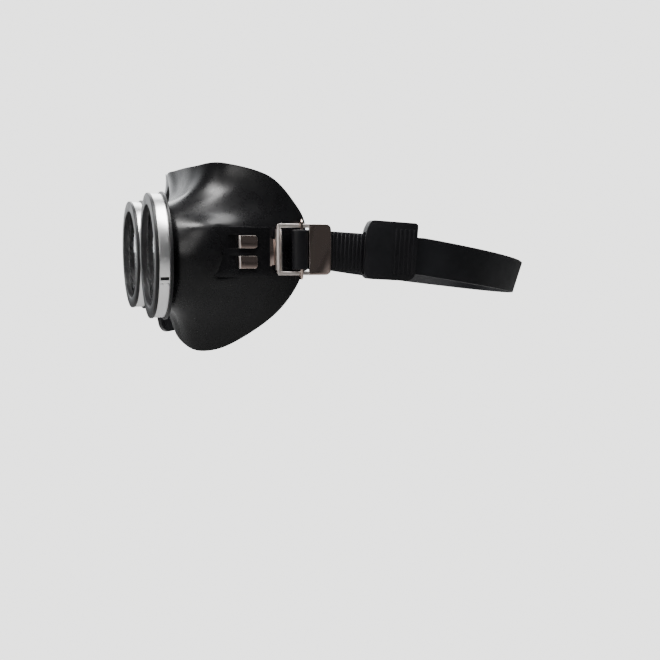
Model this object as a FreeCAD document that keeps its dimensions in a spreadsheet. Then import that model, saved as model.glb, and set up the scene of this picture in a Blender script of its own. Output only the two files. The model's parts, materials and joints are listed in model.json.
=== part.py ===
"""Wraparound protective goggles: a moulded rubber face mask with two round glass lenses held by
metal bands, a nickel clip and hinged buckle at each temple, and a rubber head strap.

Millimetres. +Z is up, the goggles look along -Y and +X is the wearer's left. The origin is on the
middle plane, at the height of the lens axes, on the face side of the nose bridge.
"""

import FreeCAD, Part
import math
import os
import re

import Sketcher

os.makedirs("parts", exist_ok=True)
doc = FreeCAD.newDocument("goggles")
V = FreeCAD.Vector

# ---------------------------------------------------------------- driving dimensions
SIZES = {
    # eyepieces
    "bridge_gap": 8.0,  # between the two back flanges
    "lens_forward": 14.0,  # front rims ahead of the origin
    "lens_toe": 1.0,  # degrees each lens axis turns outward
    "glass_radius": 27.5,
    "glass_depth": 2.5,
    "glass_fit": 0.05,
    "glass_bevel": 0.5,
    "lip_depth": 3.0,  # front of the rim to the glass
    "lip_reach": 3.0,  # how far the lip covers the glass
    "cup_wall": 1.7,  # from the glass out to the seat of the band
    "rim_reach": 1.0,  # front rim outside the seat
    "rim_depth": 1.5,
    "band_width": 5.0,
    "band_wall": 0.6,
    "band_fit": 0.05,
    "flange_reach": 1.8,  # back flange outside the seat
    "flange_depth": 1.3,
    "neck_step": 2.3,  # outside of the neck under the edge of the glass
    "neck_start": 0.8,  # how deep the skirt starts inside the back flange
    "skin": 1.8,  # wall of the rubber mask
    # band joint, below the temple side of each lens
    "seam_angle": 19.5,  # degrees under the horizontal
    "seam_width": 0.6,
    "seam_depth": 0.3,
    "seam_length": 4.0,
    "rivet_angle": 25.0,
    "rivet_spacing": 2.5,
    "rivet_radius": 0.6,
    "rivet_fit": 0.02,
    "rivet_head_radius": 0.85,
    "rivet_head_depth": 0.35,
    # temple hinge
    "hinge_step": 4.0,  # outward of the back flange
    "hinge_back": 41.2,  # behind the origin
    "hinge_height": 3.1,
    "temple_angle": 7.0,  # degrees the strap spreads outward
    "pin_radius": 1.0,
    "pin_fit": 0.08,
    "knuckle_wall": 0.55,
    "knuckle_fit": 0.55,  # each end, inside the rails
    "wing_length": 0.8,  # plate widened ahead of the knuckle
    # rubber lug on the mask that holds the clip
    "lug_front": 30.6,  # ahead of the hinge
    "lug_back": 4.2,
    "lug_width": 23.0,
    "lug_drop": 1.1,  # centre of the lug and clip under the hinge
    "lug_face": 0.55,  # outside face outward of the hinge axis
    "lug_depth": 5.4,
    # clip
    "clip_wall": 0.8,
    "clip_width": 13.0,
    "clip_fit": 0.1,
    "tang_length": 8.7,
    "tang_width": 5.8,
    "tang_pitch": 9.3,
    "tang_corner": 1.2,
    "tang_front": 18.9,  # fold of the tang ahead of the hinge
    "recess_length": 4.6,
    "recess_depth": 1.2,
    "clip_front": 22.5,
    # buckle frame
    "window_length": 14.6,  # hinge axis to the plate
    "frame_wall": 1.6,
    "rail_width": 1.8,
    "plate_length": 10.6,
    "frame_corner": 2.4,
    # sliding wire bar
    "wire_radius": 0.7,
    "wire_fit": 0.12,
    "wire_gap": 3.9,  # wire centre ahead of the plate
    "wire_reach": 1.4,  # bend outside the rail's edge
    "wire_hook": 1.1,  # end under the rail, in from its edge
    # strap
    "strap_width": 18.6,
    "strap_wall": 1.45,
    "strap_gap": 0.3,
    "strap_side_fit": 0.9,  # each side, inside the rails
    "fold_length": 8.6,
    "lead_length": 44.0,
    "strap_slope": 3.5,  # degrees the strap falls behind the buckle
    # keeper
    "keeper_start": 42.4,  # behind the hinge
    "keeper_length": 26.4,
    "keeper_wall": 1.5,
    "keeper_top": 6.0,
    "keeper_bottom": 2.4,
    "keeper_corner": 3.0,
    "keeper_fit": 0.35,
    # head strap, from the keepers round the back of the head
    "strap_back": 211.0,  # its middle behind the origin
    "strap_drop": 15.0,  # and below it
    "strap_fall": 0.165,  # how steeply it falls behind the keeper
    "strap_lean": 16.0,  # degrees its lower edge turns inward
    "side_pull": 45.0,  # how far it holds its line behind the keeper
    "back_pull": 50.0,  # how far it runs straight across at the back
}
sheet = doc.addObject("Spreadsheet::Sheet", "sheet")
for row, (alias, value) in enumerate(SIZES.items(), start=1):
    sheet.set(f"A{row}", alias)
    sheet.set(f"B{row}", str(value))
    sheet.setAlias(f"B{row}", alias)
doc.recompute()


def size(alias):
    return float(sheet.get(alias))


def bound(text):
    """An expression written with bare aliases, as the sheet's own names."""
    return re.sub("[a-z_]+", lambda word: "sheet." + word.group(), text)


def number(text):
    return float(sheet.evalExpression(bound(text)))


# ---------------------------------------------------------------- sizes that follow from others
SEAT = "(glass_radius+cup_wall)"  # radius under the metal band
RIM = f"({SEAT}+rim_reach)"
FLANGE = f"({SEAT}+flange_reach)"
NECK = "(glass_radius-neck_step)"
LENS_X = f"({FLANGE}+bridge_gap/2)"  # lens axis from the middle plane
HINGE_X = f"({LENS_X}+{FLANGE}+hinge_step)"
WINDOW = "(strap_width+2*strap_side_fit)"  # between the rails
FRAME_WIDTH = f"({WINDOW}+2*rail_width)"
FRAME_LENGTH = "(window_length+plate_length)"
KNUCKLE_LENGTH = f"({WINDOW}-2*knuckle_fit)"
OVERSHOOT = 1.0  # how far a cutting tool runs past the faces it cuts
SLACK = 1e-3  # volumes and lengths closer than this are the same


# ---------------------------------------------------------------- sketch and body helpers
def new_body(name, placement):
    body = doc.addObject("PartDesign::Body", name)
    body.Label = name
    body.Placement = placement
    return body


def plane(body, role):
    return next(f for f in body.Origin.OriginFeatures if f.Role == role)


def new_sketch(body, name, role="XY_Plane", height="0"):
    sketch = body.newObject("Sketcher::SketchObject", name)
    sketch.AttachmentSupport = (plane(body, role), [""])
    sketch.MapMode = "FlatFace"
    if height != "0":
        sketch.setExpression(".AttachmentOffset.Base.z", bound(height))
    return sketch


def pin_point(sketch, geometry, position, across, up):
    """Fix one sketch point at two bound distances from the sketch's origin."""
    for kind, text, axis in (("DistanceX", across, -2), ("DistanceY", up, -1)):
        if text == "0":
            sketch.addConstraint(Sketcher.Constraint("PointOnObject", geometry, position, axis))
            continue
        row = sketch.addConstraint(
            Sketcher.Constraint(kind, -1, 1, geometry, position, number(text))
        )
        sketch.setExpression(f"Constraints[{row}]", bound(text))


def polygon(sketch, corners):
    """A closed outline of straight lines through corners given as expressions."""
    points = [V(number(x), number(y), 0) for x, y in corners]
    first = sketch.GeometryCount
    count = len(points)
    for k in range(count):
        sketch.addGeometry(Part.LineSegment(points[k], points[(k + 1) % count]), False)
    for k in range(count):
        follower = first + (k + 1) % count
        sketch.addConstraint(Sketcher.Constraint("Coincident", first + k, 2, follower, 1))
    for k, (x, y) in enumerate(corners):
        pin_point(sketch, first + k, 1, x, y)


def rectangle(sketch, x0, x1, y0, y1):
    polygon(sketch, [(x0, y0), (x1, y0), (x1, y1), (x0, y1)])


def circle(sketch, x, y, radius):
    row = sketch.addGeometry(
        Part.Circle(V(number(x), number(y), 0), V(0, 0, 1), number(radius)), False
    )
    pin_point(sketch, row, 3, x, y)
    rule = sketch.addConstraint(Sketcher.Constraint("Radius", row, number(radius)))
    sketch.setExpression(f"Constraints[{rule}]", bound(radius))


def pad(body, sketch, length, name, midplane=False):
    feature = body.newObject("PartDesign::Pad", name)
    feature.Profile = sketch
    feature.setExpression("Length", bound(length))
    if midplane:
        feature.SideType = "Symmetric"
    return feature


def pocket(body, sketch, length, name):
    """Cut a sketch out of the body both ways, and make sure that material went."""
    doc.recompute()
    before = body.Shape.Volume
    feature = body.newObject("PartDesign::Pocket", name)
    feature.Profile = sketch
    feature.setExpression("Length", bound(length))
    feature.SideType = "Symmetric"
    doc.recompute()
    if body.Shape.Volume >= before - SLACK:
        raise RuntimeError(f"{name} of {body.Label} cuts nothing")


def revolution(body, sketch, axis, name):
    feature = body.newObject("PartDesign::Revolution", name)
    feature.Profile = sketch
    feature.ReferenceAxis = (sketch, [axis])
    feature.Angle = 360
    return feature


def upright_edges(body, chosen=lambda middle: True):
    """Names of the body's straight edges along its own Z whose middle passes a test."""
    doc.recompute()
    names = []
    for k, edge in enumerate(body.Tip.Shape.Edges, start=1):
        if edge.Curve.TypeId == "Part::GeomLine" and chosen(edge.CenterOfMass):
            run = edge.Vertexes[-1].Point - edge.Vertexes[0].Point
            if abs(run.normalize().z) > 0.9999:
                names.append(f"Edge{k}")
    if not names:
        raise RuntimeError(f"{body.Label} has no such edge")
    return names


def round_edges(body, names, radius, label):
    base = body.Tip
    feature = body.newObject("PartDesign::Fillet", label)
    feature.Base = (base, names)
    feature.setExpression("Radius", bound(radius))


# ---------------------------------------------------------------- frames
def frame(origin, across, up):
    """A placement whose X and Y axes are the two given directions."""
    out = across.cross(up)
    matrix = FreeCAD.Matrix(
        across.x, up.x, out.x, origin.x,
        across.y, up.y, out.y, origin.y,
        across.z, up.z, out.z, origin.z,
        0, 0, 0, 1,
    )
    return FreeCAD.Placement(matrix)


def lens_frame(side):
    """On the lens axis at the front rim: X across, Y back along the axis, Z up."""
    base = V(side * number(LENS_X), -size("lens_forward"), 0)
    return FreeCAD.Placement(base, FreeCAD.Rotation(V(0, 0, 1), -side * size("lens_toe")))


def temple_frame(side, slope=0.0, along=0.0, out=0.0):
    """At the hinge: X back along the strap, Z outward. Y is up on the left, down on the right."""
    angle = math.radians(size("temple_angle"))
    fall = math.radians(slope)
    level = V(side * math.sin(angle), math.cos(angle), 0)
    outward = V(side * math.cos(angle), -math.sin(angle), 0)
    base = V(side * number(HINGE_X), size("hinge_back"), size("hinge_height"))
    back = level * math.cos(fall) - V(0, 0, math.sin(fall))
    return frame(base + level * along + outward * out, back, outward.cross(back))


def on_axis(side, height):
    """A height above the temple frame's X axis, as its own Y value."""
    return height if side > 0 else f"-({height})"


SIDES = (("left", 1), ("right", -1))

# ---------------------------------------------------------------- face mask
# Free edge of the left half, seen from the lens axis: degrees anticlockwise from the temple, then
# the point's X, Y behind the front rims and Z. It runs over the brow, down the middle plane and
# the side of the nose, and back under the cheek. A negative X lies past the middle plane, where
# the two halves overlap before they are trimmed and joined. The points were drawn for one lens
# axis, hinge, flange and doubled strap, given below the table, and move with them.
EDGE = (
    (5, 66.3, 69.2, 3.5),
    (38, 66.2, 65.6, 23.8),
    (54, 62.8, 53.6, 37.4),
    (70, 54.0, 35.0, 43.6),
    (92, 34.0, 23.4, 43.7),
    (110, 13.0, 18.4, 43.4),
    (124, 2.0, 16.2, 42.6),
    (131, -4.0, 17.0, 40.2),
    (140, -4.0, 18.6, 34.0),
    (152, -4.0, 18.0, 23.0),
    (180, -4.0, 12.2, 2.0),
    (194, -4.0, 10.2, -6.5),
    (203, 2.0, 10.0, -9.6),
    (214, 8.5, 10.3, -14.0),
    (228, 15.5, 11.2, -23.0),
    (246, 22.5, 12.9, -33.5),
    (264, 32.0, 15.4, -42.0),
    (280, 44.0, 21.8, -46.2),
    (292, 51.5, 30.4, -44.7),
    (308, 59.0, 44.0, -36.8),
    (325, 64.0, 57.2, -25.8),
    (342, 66.0, 66.4, -12.6),
)

EDGE_LENS_X = 35.0
EDGE_HINGE_X = 70.0
EDGE_HINGE_Y = 55.2
EDGE_FLANGE = 31.0
EDGE_LAYERS = 2.9
BRIDGE = (124, 203)  # the stretch of EDGE that crosses the middle plane
BROW = (50, 150)  # the stretch where the free edge turns forward
BROW_TURN = 0.45  # how strongly it does
FLARE = 8.0  # degrees the skirt leaves the neck outward
TEMPLE_FLARE = 32.0  # more degrees towards the temple
FLARE_POWER = 1.3  # how quickly that fades over the brow and cheek
RISE = 0.3  # first handle, as a share of the way to the free edge
RISE_MOST = 6.0
TEMPLE_RISE = 0.16  # more of that way towards the temple
SETTLE = 0.62  # second handle, as a share of the rest of the way
TEMPLE_SETTLE = 0.12  # less of it towards the temple
SKIN_RINGS = 6
SKIN_TURNS = 48
SKIN_STEP = 0.01  # reach over which the skin's direction is measured


def edge_place(row):
    """A point of EDGE, moved with the lens, the hinge and the strap that lies over it."""
    lens_x = number(LENS_X)
    hinge_x = number(HINGE_X) - (2 * size("strap_wall") - EDGE_LAYERS)
    if row[1] < EDGE_LENS_X:
        x = row[1] * lens_x / EDGE_LENS_X
    else:
        share = (row[1] - EDGE_LENS_X) / (EDGE_HINGE_X - EDGE_LENS_X)
        x = lens_x + share * (hinge_x - lens_x)
    deep = size("lens_forward") + size("hinge_back")
    y = row[2] * deep / EDGE_HINGE_Y - size("lens_forward")
    return V(x, y, row[3] * number(FLANGE) / EDGE_FLANGE)


def edge_point(degrees):
    """The free edge at an angle: a smooth curve through the points of EDGE."""
    turn = (degrees - EDGE[0][0]) % 360 + EDGE[0][0]
    index = max(k for k, row in enumerate(EDGE) if row[0] <= turn + 1e-9)

    def knot(k):
        row = EDGE[k % len(EDGE)]
        return row[0] + 360 * (k // len(EDGE)), edge_place(row)

    (a0, p0), (a1, p1), (a2, p2), (a3, p3) = (knot(index + k) for k in (-1, 0, 1, 2))
    slope1 = (p2 - p1) * ((a1 - a0) / (a2 - a1)) + (p1 - p0) * ((a2 - a1) / (a1 - a0))
    slope2 = (p3 - p2) * ((a2 - a1) / (a3 - a2)) + (p2 - p1) * ((a3 - a2) / (a2 - a1))
    step = a2 - a1
    slope1, slope2 = slope1 * (step / (a2 - a0)), slope2 * (step / (a3 - a1))
    t = (turn - a1) / step
    return (
        p1 * (2 * t**3 - 3 * t**2 + 1)
        + slope1 * (t**3 - 2 * t**2 + t)
        + p2 * (3 * t**2 - 2 * t**3)
        + slope2 * (t**3 - t**2)
    )


def mask_point(degrees, reach):
    """The mask's outer surface: reach 0 is the neck behind the lens, 1 is the free edge."""
    turn = math.radians(degrees)
    temple = max(0.0, math.cos(turn))
    neck, depth = number(NECK), number("rim_depth+band_width+flange_depth-neck_start")
    start = lens_frame(1).multVec(V(neck * math.cos(turn), depth, neck * math.sin(turn)))
    end = edge_point(degrees)
    flare = math.radians(FLARE + TEMPLE_FLARE * temple**FLARE_POWER)
    away = V(
        math.cos(turn) * math.sin(flare), math.cos(flare), math.sin(turn) * math.sin(flare)
    )
    gap = (end - start).Length
    rise = start + away * (min(RISE_MOST, RISE * gap) + TEMPLE_RISE * gap * temple)
    arrive = (end - rise).normalize()
    if BROW[0] < degrees % 360 < BROW[1]:
        brow = math.sin(math.pi * (degrees % 360 - BROW[0]) / (BROW[1] - BROW[0]))
        arrive = (arrive - V(0, BROW_TURN * brow**2, 0)).normalize()
    if BRIDGE[0] < degrees % 360 < BRIDGE[1]:
        bridge = math.sin(math.pi * (degrees % 360 - BRIDGE[0]) / (BRIDGE[1] - BRIDGE[0]))
        arrive = (arrive * (1 - bridge) + V(-1, 0, 0) * bridge).normalize()
    settle = end - arrive * ((SETTLE - TEMPLE_SETTLE * temple) * (end - rise).Length)
    t = reach
    return (
        start * (1 - t) ** 3
        + rise * (3 * t * (1 - t) ** 2)
        + settle * (3 * t * t * (1 - t))
        + end * t**3
    )


def mask_inner(degrees, reach):
    """The face side of the skin, one wall under the outer surface."""
    here = mask_point(degrees, reach)
    around = mask_point(degrees + 1, reach) - mask_point(degrees - 1, reach)
    low, high = max(reach - SKIN_STEP, 0.0), min(reach + SKIN_STEP, 1.0)
    along = mask_point(degrees, high) - mask_point(degrees, low)
    return here + around.cross(along).normalize() * size("skin")


def skin_face(point):
    """A smooth surface through closed rings from the neck to the free edge."""
    rings = []
    for step in range(SKIN_RINGS + 1):
        curve = Part.BSplineCurve()
        around = [point(360 * k / SKIN_TURNS, step / SKIN_RINGS) for k in range(SKIN_TURNS)]
        curve.interpolate(Points=around, PeriodicFlag=True)
        rings.append(Part.Wire(curve.toShape()))
    return Part.makeLoft(rings, False, False)


def mask_skin():
    """One half of the thin face skirt, as a closed solid."""
    outer, inner = skin_face(mask_point), skin_face(mask_inner)

    def rims(face):
        closed = [edge for edge in face.Edges if edge.isClosed()]
        return sorted(closed, key=lambda edge: edge.Length)

    neck = Part.makeRuledSurface(rims(outer)[0], rims(inner)[0])
    border = Part.makeRuledSurface(rims(outer)[-1], rims(inner)[-1])
    shell = Part.makeShell(outer.Faces + inner.Faces + neck.Faces + border.Faces)
    shell.sewShape()
    solid = Part.makeSolid(shell)
    if solid.Volume < 0:
        solid.reverse()
    return solid


def eye_cup():
    """The turned cup of the left eye, with a groove for the glass and a seat for the band."""
    glass = size("glass_radius")
    opening = glass - size("lip_reach")
    rim, seat, flange = number(RIM), number(SEAT), number(FLANGE)
    bore = number(NECK) - size("skin")
    seat_start = size("rim_depth")
    seat_end = seat_start + size("band_width")
    back = seat_end + size("flange_depth")
    glass_front = size("lip_depth")
    glass_back = glass_front + size("glass_depth")
    outline = (
        (opening, 0), (rim, 0), (rim, seat_start), (seat, seat_start), (seat, seat_end),
        (flange, seat_end), (flange, back), (bore, back), (bore, glass_back),
        (glass, glass_back), (glass, glass_front), (opening, glass_front),
    )
    corners = [V(radius, depth, 0) for radius, depth in outline]
    profile = Part.Face(Part.makePolygon(corners + corners[:1]))
    cup = profile.revolve(V(0, 0, 0), V(0, 1, 0), 360)
    cup.Placement = lens_frame(1)
    return cup


def temple_box(x0, x1, y0, y1, z0, z1):
    """A box given by its limits in the left temple frame."""
    box = Part.makeBox(x1 - x0, y1 - y0, z1 - z0, V(x0, y0, z0))
    box.Placement = temple_frame(1)
    return box


def clip_faces():
    """Inner and outer faces of the clip's plate, outward of the hinge axis."""
    inner = -(size("pin_radius") + size("pin_fit") + size("knuckle_wall"))
    return inner, inner + size("clip_wall")


def lug_cuts():
    """Room in the lug for the clip: its plate, and a ramp and a slit ahead of each tang."""
    fit = size("clip_fit")
    inner, outer = clip_faces()
    middle, half = -size("lug_drop"), size("clip_width") / 2 + fit
    cuts = [
        temple_box(-size("clip_front") - fit, 0, middle - half, middle + half, inner - fit, outer + fit)
    ]
    face = size("lug_face")
    fold = -size("tang_front")
    half = size("tang_width") / 2 + fit
    for turn in (-1, 1):
        low = middle + turn * size("tang_pitch") / 2 - half
        slit_end = fold + size("clip_wall") + fit
        high = low + 2 * half
        cuts.append(temple_box(fold - fit, slit_end, low, high, outer - fit, face + OVERSHOOT))
        ramp = [
            V(fold - size("recess_length"), low, face),
            V(fold - size("recess_length"), low, face + OVERSHOOT),
            V(fold, low, face + OVERSHOOT),
            V(fold, low, face - size("recess_depth")),
        ]
        wedge = Part.Face(Part.makePolygon(ramp + ramp[:1])).extrude(V(0, 2 * half, 0))
        wedge.Placement = temple_frame(1)
        cuts.append(wedge)
    return cuts


def face_mask():
    """Skirt, eye cup and lug of the left half, joined to their mirror image."""
    half_lug = size("lug_width") / 2
    middle, face = -size("lug_drop"), size("lug_face")
    lug = temple_box(
        -size("lug_front"), -size("lug_back"), middle - half_lug, middle + half_lug,
        face - size("lug_depth"), face,
    )
    half = mask_skin().fuse([eye_cup(), lug])
    for cut in lug_cuts():
        half = half.cut(cut)
    reach = 2 * half.BoundBox.DiagonalLength
    half = half.common(Part.makeBox(reach, reach, reach, V(0, -reach / 2, -reach / 2)))
    return half.fuse(half.mirror(V(0, 0, 0), V(1, 0, 0))).Solids[0]


mask = doc.addObject("Part::Feature", "face_mask")
mask.Label = "face_mask"
mask.Shape = face_mask()

# ---------------------------------------------------------------- lenses, bands and rivets
BAND_INNER = f"{SEAT}+band_fit"
BAND_OUTER = f"{SEAT}+band_fit+band_wall"


def lens(name, side):
    body = new_body(name, lens_frame(side))
    sketch = new_sketch(body, name + "_section")
    edge, front = "glass_radius-glass_fit", "lip_depth+glass_fit"
    back = "lip_depth+glass_depth-glass_fit"
    polygon(
        sketch,
        [
            ("0", front),
            (edge + "-glass_bevel", front),
            (edge, front + "+glass_bevel"),
            (edge, back + "-glass_bevel"),
            (edge + "-glass_bevel", back),
            ("0", back),
        ],
    )
    revolution(body, sketch, "V_Axis", name + "_turn")


def radial_frame(side, degrees, radius, depth):
    """On a lens's band: Z points away from the lens axis, X back along it."""
    place = lens_frame(side)
    turn = math.radians(degrees)
    away = V(side * math.cos(turn), 0, -math.sin(turn))
    base = place.multVec(away * radius + V(0, depth, 0))
    back = place.Rotation.multVec(V(0, 1, 0))
    out = place.Rotation.multVec(away)
    return frame(base, back, out.cross(back))


def cut_tool(body, kind, name, sizes, place):
    """A primitive cut out of a body, placed in the world frame."""
    doc.recompute()
    before = body.Shape.Volume
    tool = body.newObject(f"PartDesign::Subtractive{kind}", name)
    for key, text in sizes.items():
        tool.setExpression(key, bound(text))
    tool.Placement = body.Placement.inverse().multiply(place)
    doc.recompute()
    if body.Shape.Volume >= before - SLACK:
        raise RuntimeError(f"{name} of {body.Label} cuts nothing")


def band_middle():
    return size("rim_depth") + size("band_width") / 2 + size("band_fit")


def rivet_depths():
    return [band_middle() + turn * size("rivet_spacing") / 2 for turn in (-1, 1)]


def lens_band(name, side):
    body = new_body(name, lens_frame(side))
    sketch = new_sketch(body, name + "_section")
    start = "rim_depth+2*band_fit"
    rectangle(sketch, BAND_INNER, BAND_OUTER, start, "rim_depth+band_width")
    revolution(body, sketch, "V_Axis", name + "_turn")
    outer = number(BAND_OUTER)
    place = radial_frame(side, size("seam_angle"), outer - size("seam_depth"), band_middle())
    half = V(-size("seam_length") / 2, -size("seam_width") / 2, 0)
    place.Base = place.multVec(half)
    height = f"seam_depth+{OVERSHOOT}"
    sizes = {"Length": "seam_length", "Width": "seam_width", "Height": height}
    cut_tool(body, "Box", name + "_seam", sizes, place)
    for k, depth in enumerate(rivet_depths()):
        place = radial_frame(side, size("rivet_angle"), number(SEAT) - OVERSHOOT, depth)
        sizes = {"Radius": "rivet_radius+rivet_fit", "Height": f"band_wall+3*{OVERSHOOT}"}
        cut_tool(body, "Cylinder", f"{name}_hole_{k}", sizes, place)


def rivet(name, side, depth):
    place = radial_frame(side, size("rivet_angle"), number(BAND_INNER), depth)
    body = new_body(name, place)
    sketch = new_sketch(body, name + "_section", "XZ_Plane")
    top = "band_wall+rivet_fit"
    polygon(
        sketch,
        [
            ("0", "0"),
            ("rivet_radius", "0"),
            ("rivet_radius", top),
            ("rivet_head_radius", top),
            ("rivet_head_radius*0.7", top + "+rivet_head_depth"),
            ("0", top + "+rivet_head_depth"),
        ],
    )
    revolution(body, sketch, "V_Axis", name + "_turn")


for word, side in SIDES:
    lens(f"{word}_lens", side)
    lens_band(f"{word}_lens_band", side)
    for end, depth in zip(("front", "rear"), rivet_depths()):
        rivet(f"{word}_{end}_rivet", side, depth)

# ---------------------------------------------------------------- temple hardware
KNUCKLE_RADIUS = "pin_radius+pin_fit+knuckle_wall"
CLIP_INNER = f"-({KNUCKLE_RADIUS})"
CLIP_OUTER = f"-({KNUCKLE_RADIUS})+clip_wall"


def strap_clip(name, side):
    """Plate inside the lug, two tangs folded back over the lug, and the hinge knuckle."""
    body = new_body(name, temple_frame(side))
    middle = on_axis(side, "-lug_drop")
    plate = new_sketch(body, name + "_plate", height=CLIP_INNER)
    low, high = f"{middle}-clip_width/2", f"{middle}+clip_width/2"
    rectangle(plate, "-clip_front", "-pin_radius", low, high)
    pad(body, plate, "clip_wall", name + "_plate_pad")
    wing = new_sketch(body, name + "_wing", height=CLIP_INNER)
    half = f"{KNUCKLE_LENGTH}/2"
    rectangle(wing, "-pin_radius-wing_length", "-pin_radius/2", f"-{half}", half)
    pad(body, wing, "clip_wall", name + "_wing_pad")
    tube = new_sketch(body, name + "_tube", "XZ_Plane")
    circle(tube, "0", "0", KNUCKLE_RADIUS)
    pad(body, tube, KNUCKLE_LENGTH, name + "_tube_pad", midplane=True)
    face = "lug_face+clip_fit"
    for k, turn in enumerate(("-", "+")):
        low = f"{middle}{turn}tang_pitch/2-tang_width/2"
        high = f"{middle}{turn}tang_pitch/2+tang_width/2"
        riser = new_sketch(body, f"{name}_riser_{k}", height=CLIP_INNER)
        rectangle(riser, "-tang_front", "-tang_front+clip_wall", low, high)
        pad(body, riser, f"{face}+clip_wall+{KNUCKLE_RADIUS}", f"{name}_riser_pad_{k}")
        tang = new_sketch(body, f"{name}_tang_{k}", height=face)
        rectangle(tang, "-tang_front", "-tang_front+tang_length", low, high)
        pad(body, tang, "clip_wall", f"{name}_tang_pad_{k}")
    bore = new_sketch(body, name + "_bore", "XZ_Plane")
    circle(bore, "0", "0", "pin_radius+pin_fit")
    pocket(body, bore, f"{KNUCKLE_LENGTH}+2*{OVERSHOOT}", name + "_bore_cut")
    tip = number("-tang_front+tang_length")
    face = size("lug_face")
    names = upright_edges(body, lambda at: abs(at.x - tip) < 0.01 and at.z > face)
    round_edges(body, names, "tang_corner", name + "_tang_corners")


def buckle(name, side):
    """Frame with a round front bar in the knuckle, two rails and a broad rear plate."""
    body = new_body(name, temple_frame(side))
    rim = new_sketch(body, name + "_outline")
    edge, hole, rear = f"{FRAME_WIDTH}/2", f"{WINDOW}/2", "window_length"
    polygon(
        rim,
        [
            ("-pin_radius", f"-{edge}"),
            (FRAME_LENGTH, f"-{edge}"),
            (FRAME_LENGTH, edge),
            ("-pin_radius", edge),
            ("-pin_radius", hole),
            (rear, hole),
            (rear, f"-{hole}"),
            ("-pin_radius", f"-{hole}"),
        ],
    )
    pad(body, rim, "frame_wall", name + "_frame", midplane=True)
    bar = new_sketch(body, name + "_bar", "XZ_Plane")
    circle(bar, "0", "0", "pin_radius")
    pad(body, bar, f"{FRAME_WIDTH}-rail_width", name + "_bar_pad", midplane=True)
    rear = number(FRAME_LENGTH)
    names = upright_edges(body, lambda at: abs(at.x - rear) < 0.01)
    round_edges(body, names, "frame_corner", name + "_corners")


BAR_X = "window_length-wire_gap"
BAR_Z = "frame_wall/2+wire_fit+wire_radius"


def slide_bar(name, side):
    """Wire across the outside of both rails, with its ends hooked round and under them."""
    body = new_body(name, temple_frame(side, along=number(BAR_X)))
    path = new_sketch(body, name + "_path", "YZ_Plane")
    leg, end = f"{FRAME_WIDTH}/2+wire_reach", f"{FRAME_WIDTH}/2-wire_hook"
    points = [
        (f"-({end})", f"-({BAR_Z})"),
        (f"-({leg})", f"-({BAR_Z})"),
        (f"-({leg})", BAR_Z),
        (leg, BAR_Z),
        (leg, f"-({BAR_Z})"),
        (end, f"-({BAR_Z})"),
    ]
    places = [V(number(x), number(y), 0) for x, y in points]
    for k in range(len(points) - 1):
        path.addGeometry(Part.LineSegment(places[k], places[k + 1]), False)
        if k:
            path.addConstraint(Sketcher.Constraint("Coincident", k - 1, 2, k, 1))
    for k, (x, y) in enumerate(points[:-1]):
        pin_point(path, k, 1, x, y)
    pin_point(path, len(points) - 2, 2, *points[-1])
    section = new_sketch(body, name + "_section", "XZ_Plane", height=end)
    circle(section, "0", f"-({BAR_Z})", "wire_radius")
    doc.recompute()
    pipe = body.newObject("PartDesign::AdditivePipe", name + "_wire")
    pipe.Profile = section
    pipe.Spine = path
    pipe.Transition = "Round corner"


def strap_fold(name, side):
    """The strap's turn round the slide bar, up through the frame's window."""
    body = new_body(name, temple_frame(side, along=number(BAR_X)))
    sketch = new_sketch(body, name + "_outline", "XZ_Plane")
    front, rear = "-(fold_length-wire_gap+strap_gap)", "wire_gap-strap_gap"
    top = f"{BAR_Z}+wire_radius+strap_wall"
    bottom = "-(frame_wall/2+strap_gap+2*strap_wall)"
    polygon(
        sketch,
        [
            (front, "-frame_wall/2"),
            (front, f"{top}-strap_wall"),
            (f"{front}+strap_wall", top),
            (f"{rear}-strap_wall", top),
            (rear, f"{top}-strap_wall"),
            (rear, bottom),
            (f"{rear}-2*strap_wall", bottom),
        ],
    )
    pad(body, sketch, "strap_width", name + "_pad", midplane=True)
    eye = new_sketch(body, name + "_eye", "XZ_Plane")
    circle(eye, "0", BAR_Z, "wire_radius+wire_fit")
    pocket(body, eye, f"strap_width+2*{OVERSHOOT}", name + "_eye_cut")


LEAD_X = "window_length+4*strap_gap"
LEAD_TOP = "-(frame_wall/2+strap_gap)"
LEAD_BOTTOM = "-(frame_wall/2+strap_gap+2*strap_wall)"


def strap_frame(side):
    """Where the strap leaves the buckle: like the temple frame, but falling towards the back."""
    return temple_frame(side, slope=size("strap_slope"), along=number(LEAD_X))


def strap_lead(name, side):
    """The doubled stretch of strap between the buckle and the keeper."""
    body = new_body(name, strap_frame(side))
    sketch = new_sketch(body, name + "_outline", height=LEAD_BOTTOM)
    rectangle(sketch, "0", "lead_length", "-strap_width/2", "strap_width/2")
    pad(body, sketch, "2*strap_wall", name + "_pad")


def keeper(name, side):
    """Rubber sleeve round the strap, taller above it than below."""
    body = new_body(name, strap_frame(side))
    start = f"keeper_start-({LEAD_X})"
    room = "strap_width/2+2*keeper_fit"
    low, high = f"-({room}+keeper_bottom)", f"{room}+keeper_top"
    if side < 0:
        low, high = f"-({room}+keeper_top)", f"{room}+keeper_bottom"
    inner = f"{LEAD_BOTTOM}-keeper_fit-keeper_wall"
    block = new_sketch(body, name + "_outline", height=inner)
    rectangle(block, start, f"{start}+keeper_length", low, high)
    pad(body, block, "2*strap_wall+2*keeper_fit+2*keeper_wall", name + "_pad")
    round_edges(body, upright_edges(body), "keeper_corner", name + "_corners")
    slot = new_sketch(body, name + "_slot", "YZ_Plane", height=start)
    rectangle(
        slot, f"-({room})", room, f"{LEAD_BOTTOM}-keeper_fit", f"{LEAD_TOP}+keeper_fit"
    )
    pocket(body, slot, f"2*keeper_length+2*{OVERSHOOT}", name + "_slot_cut")


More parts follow.
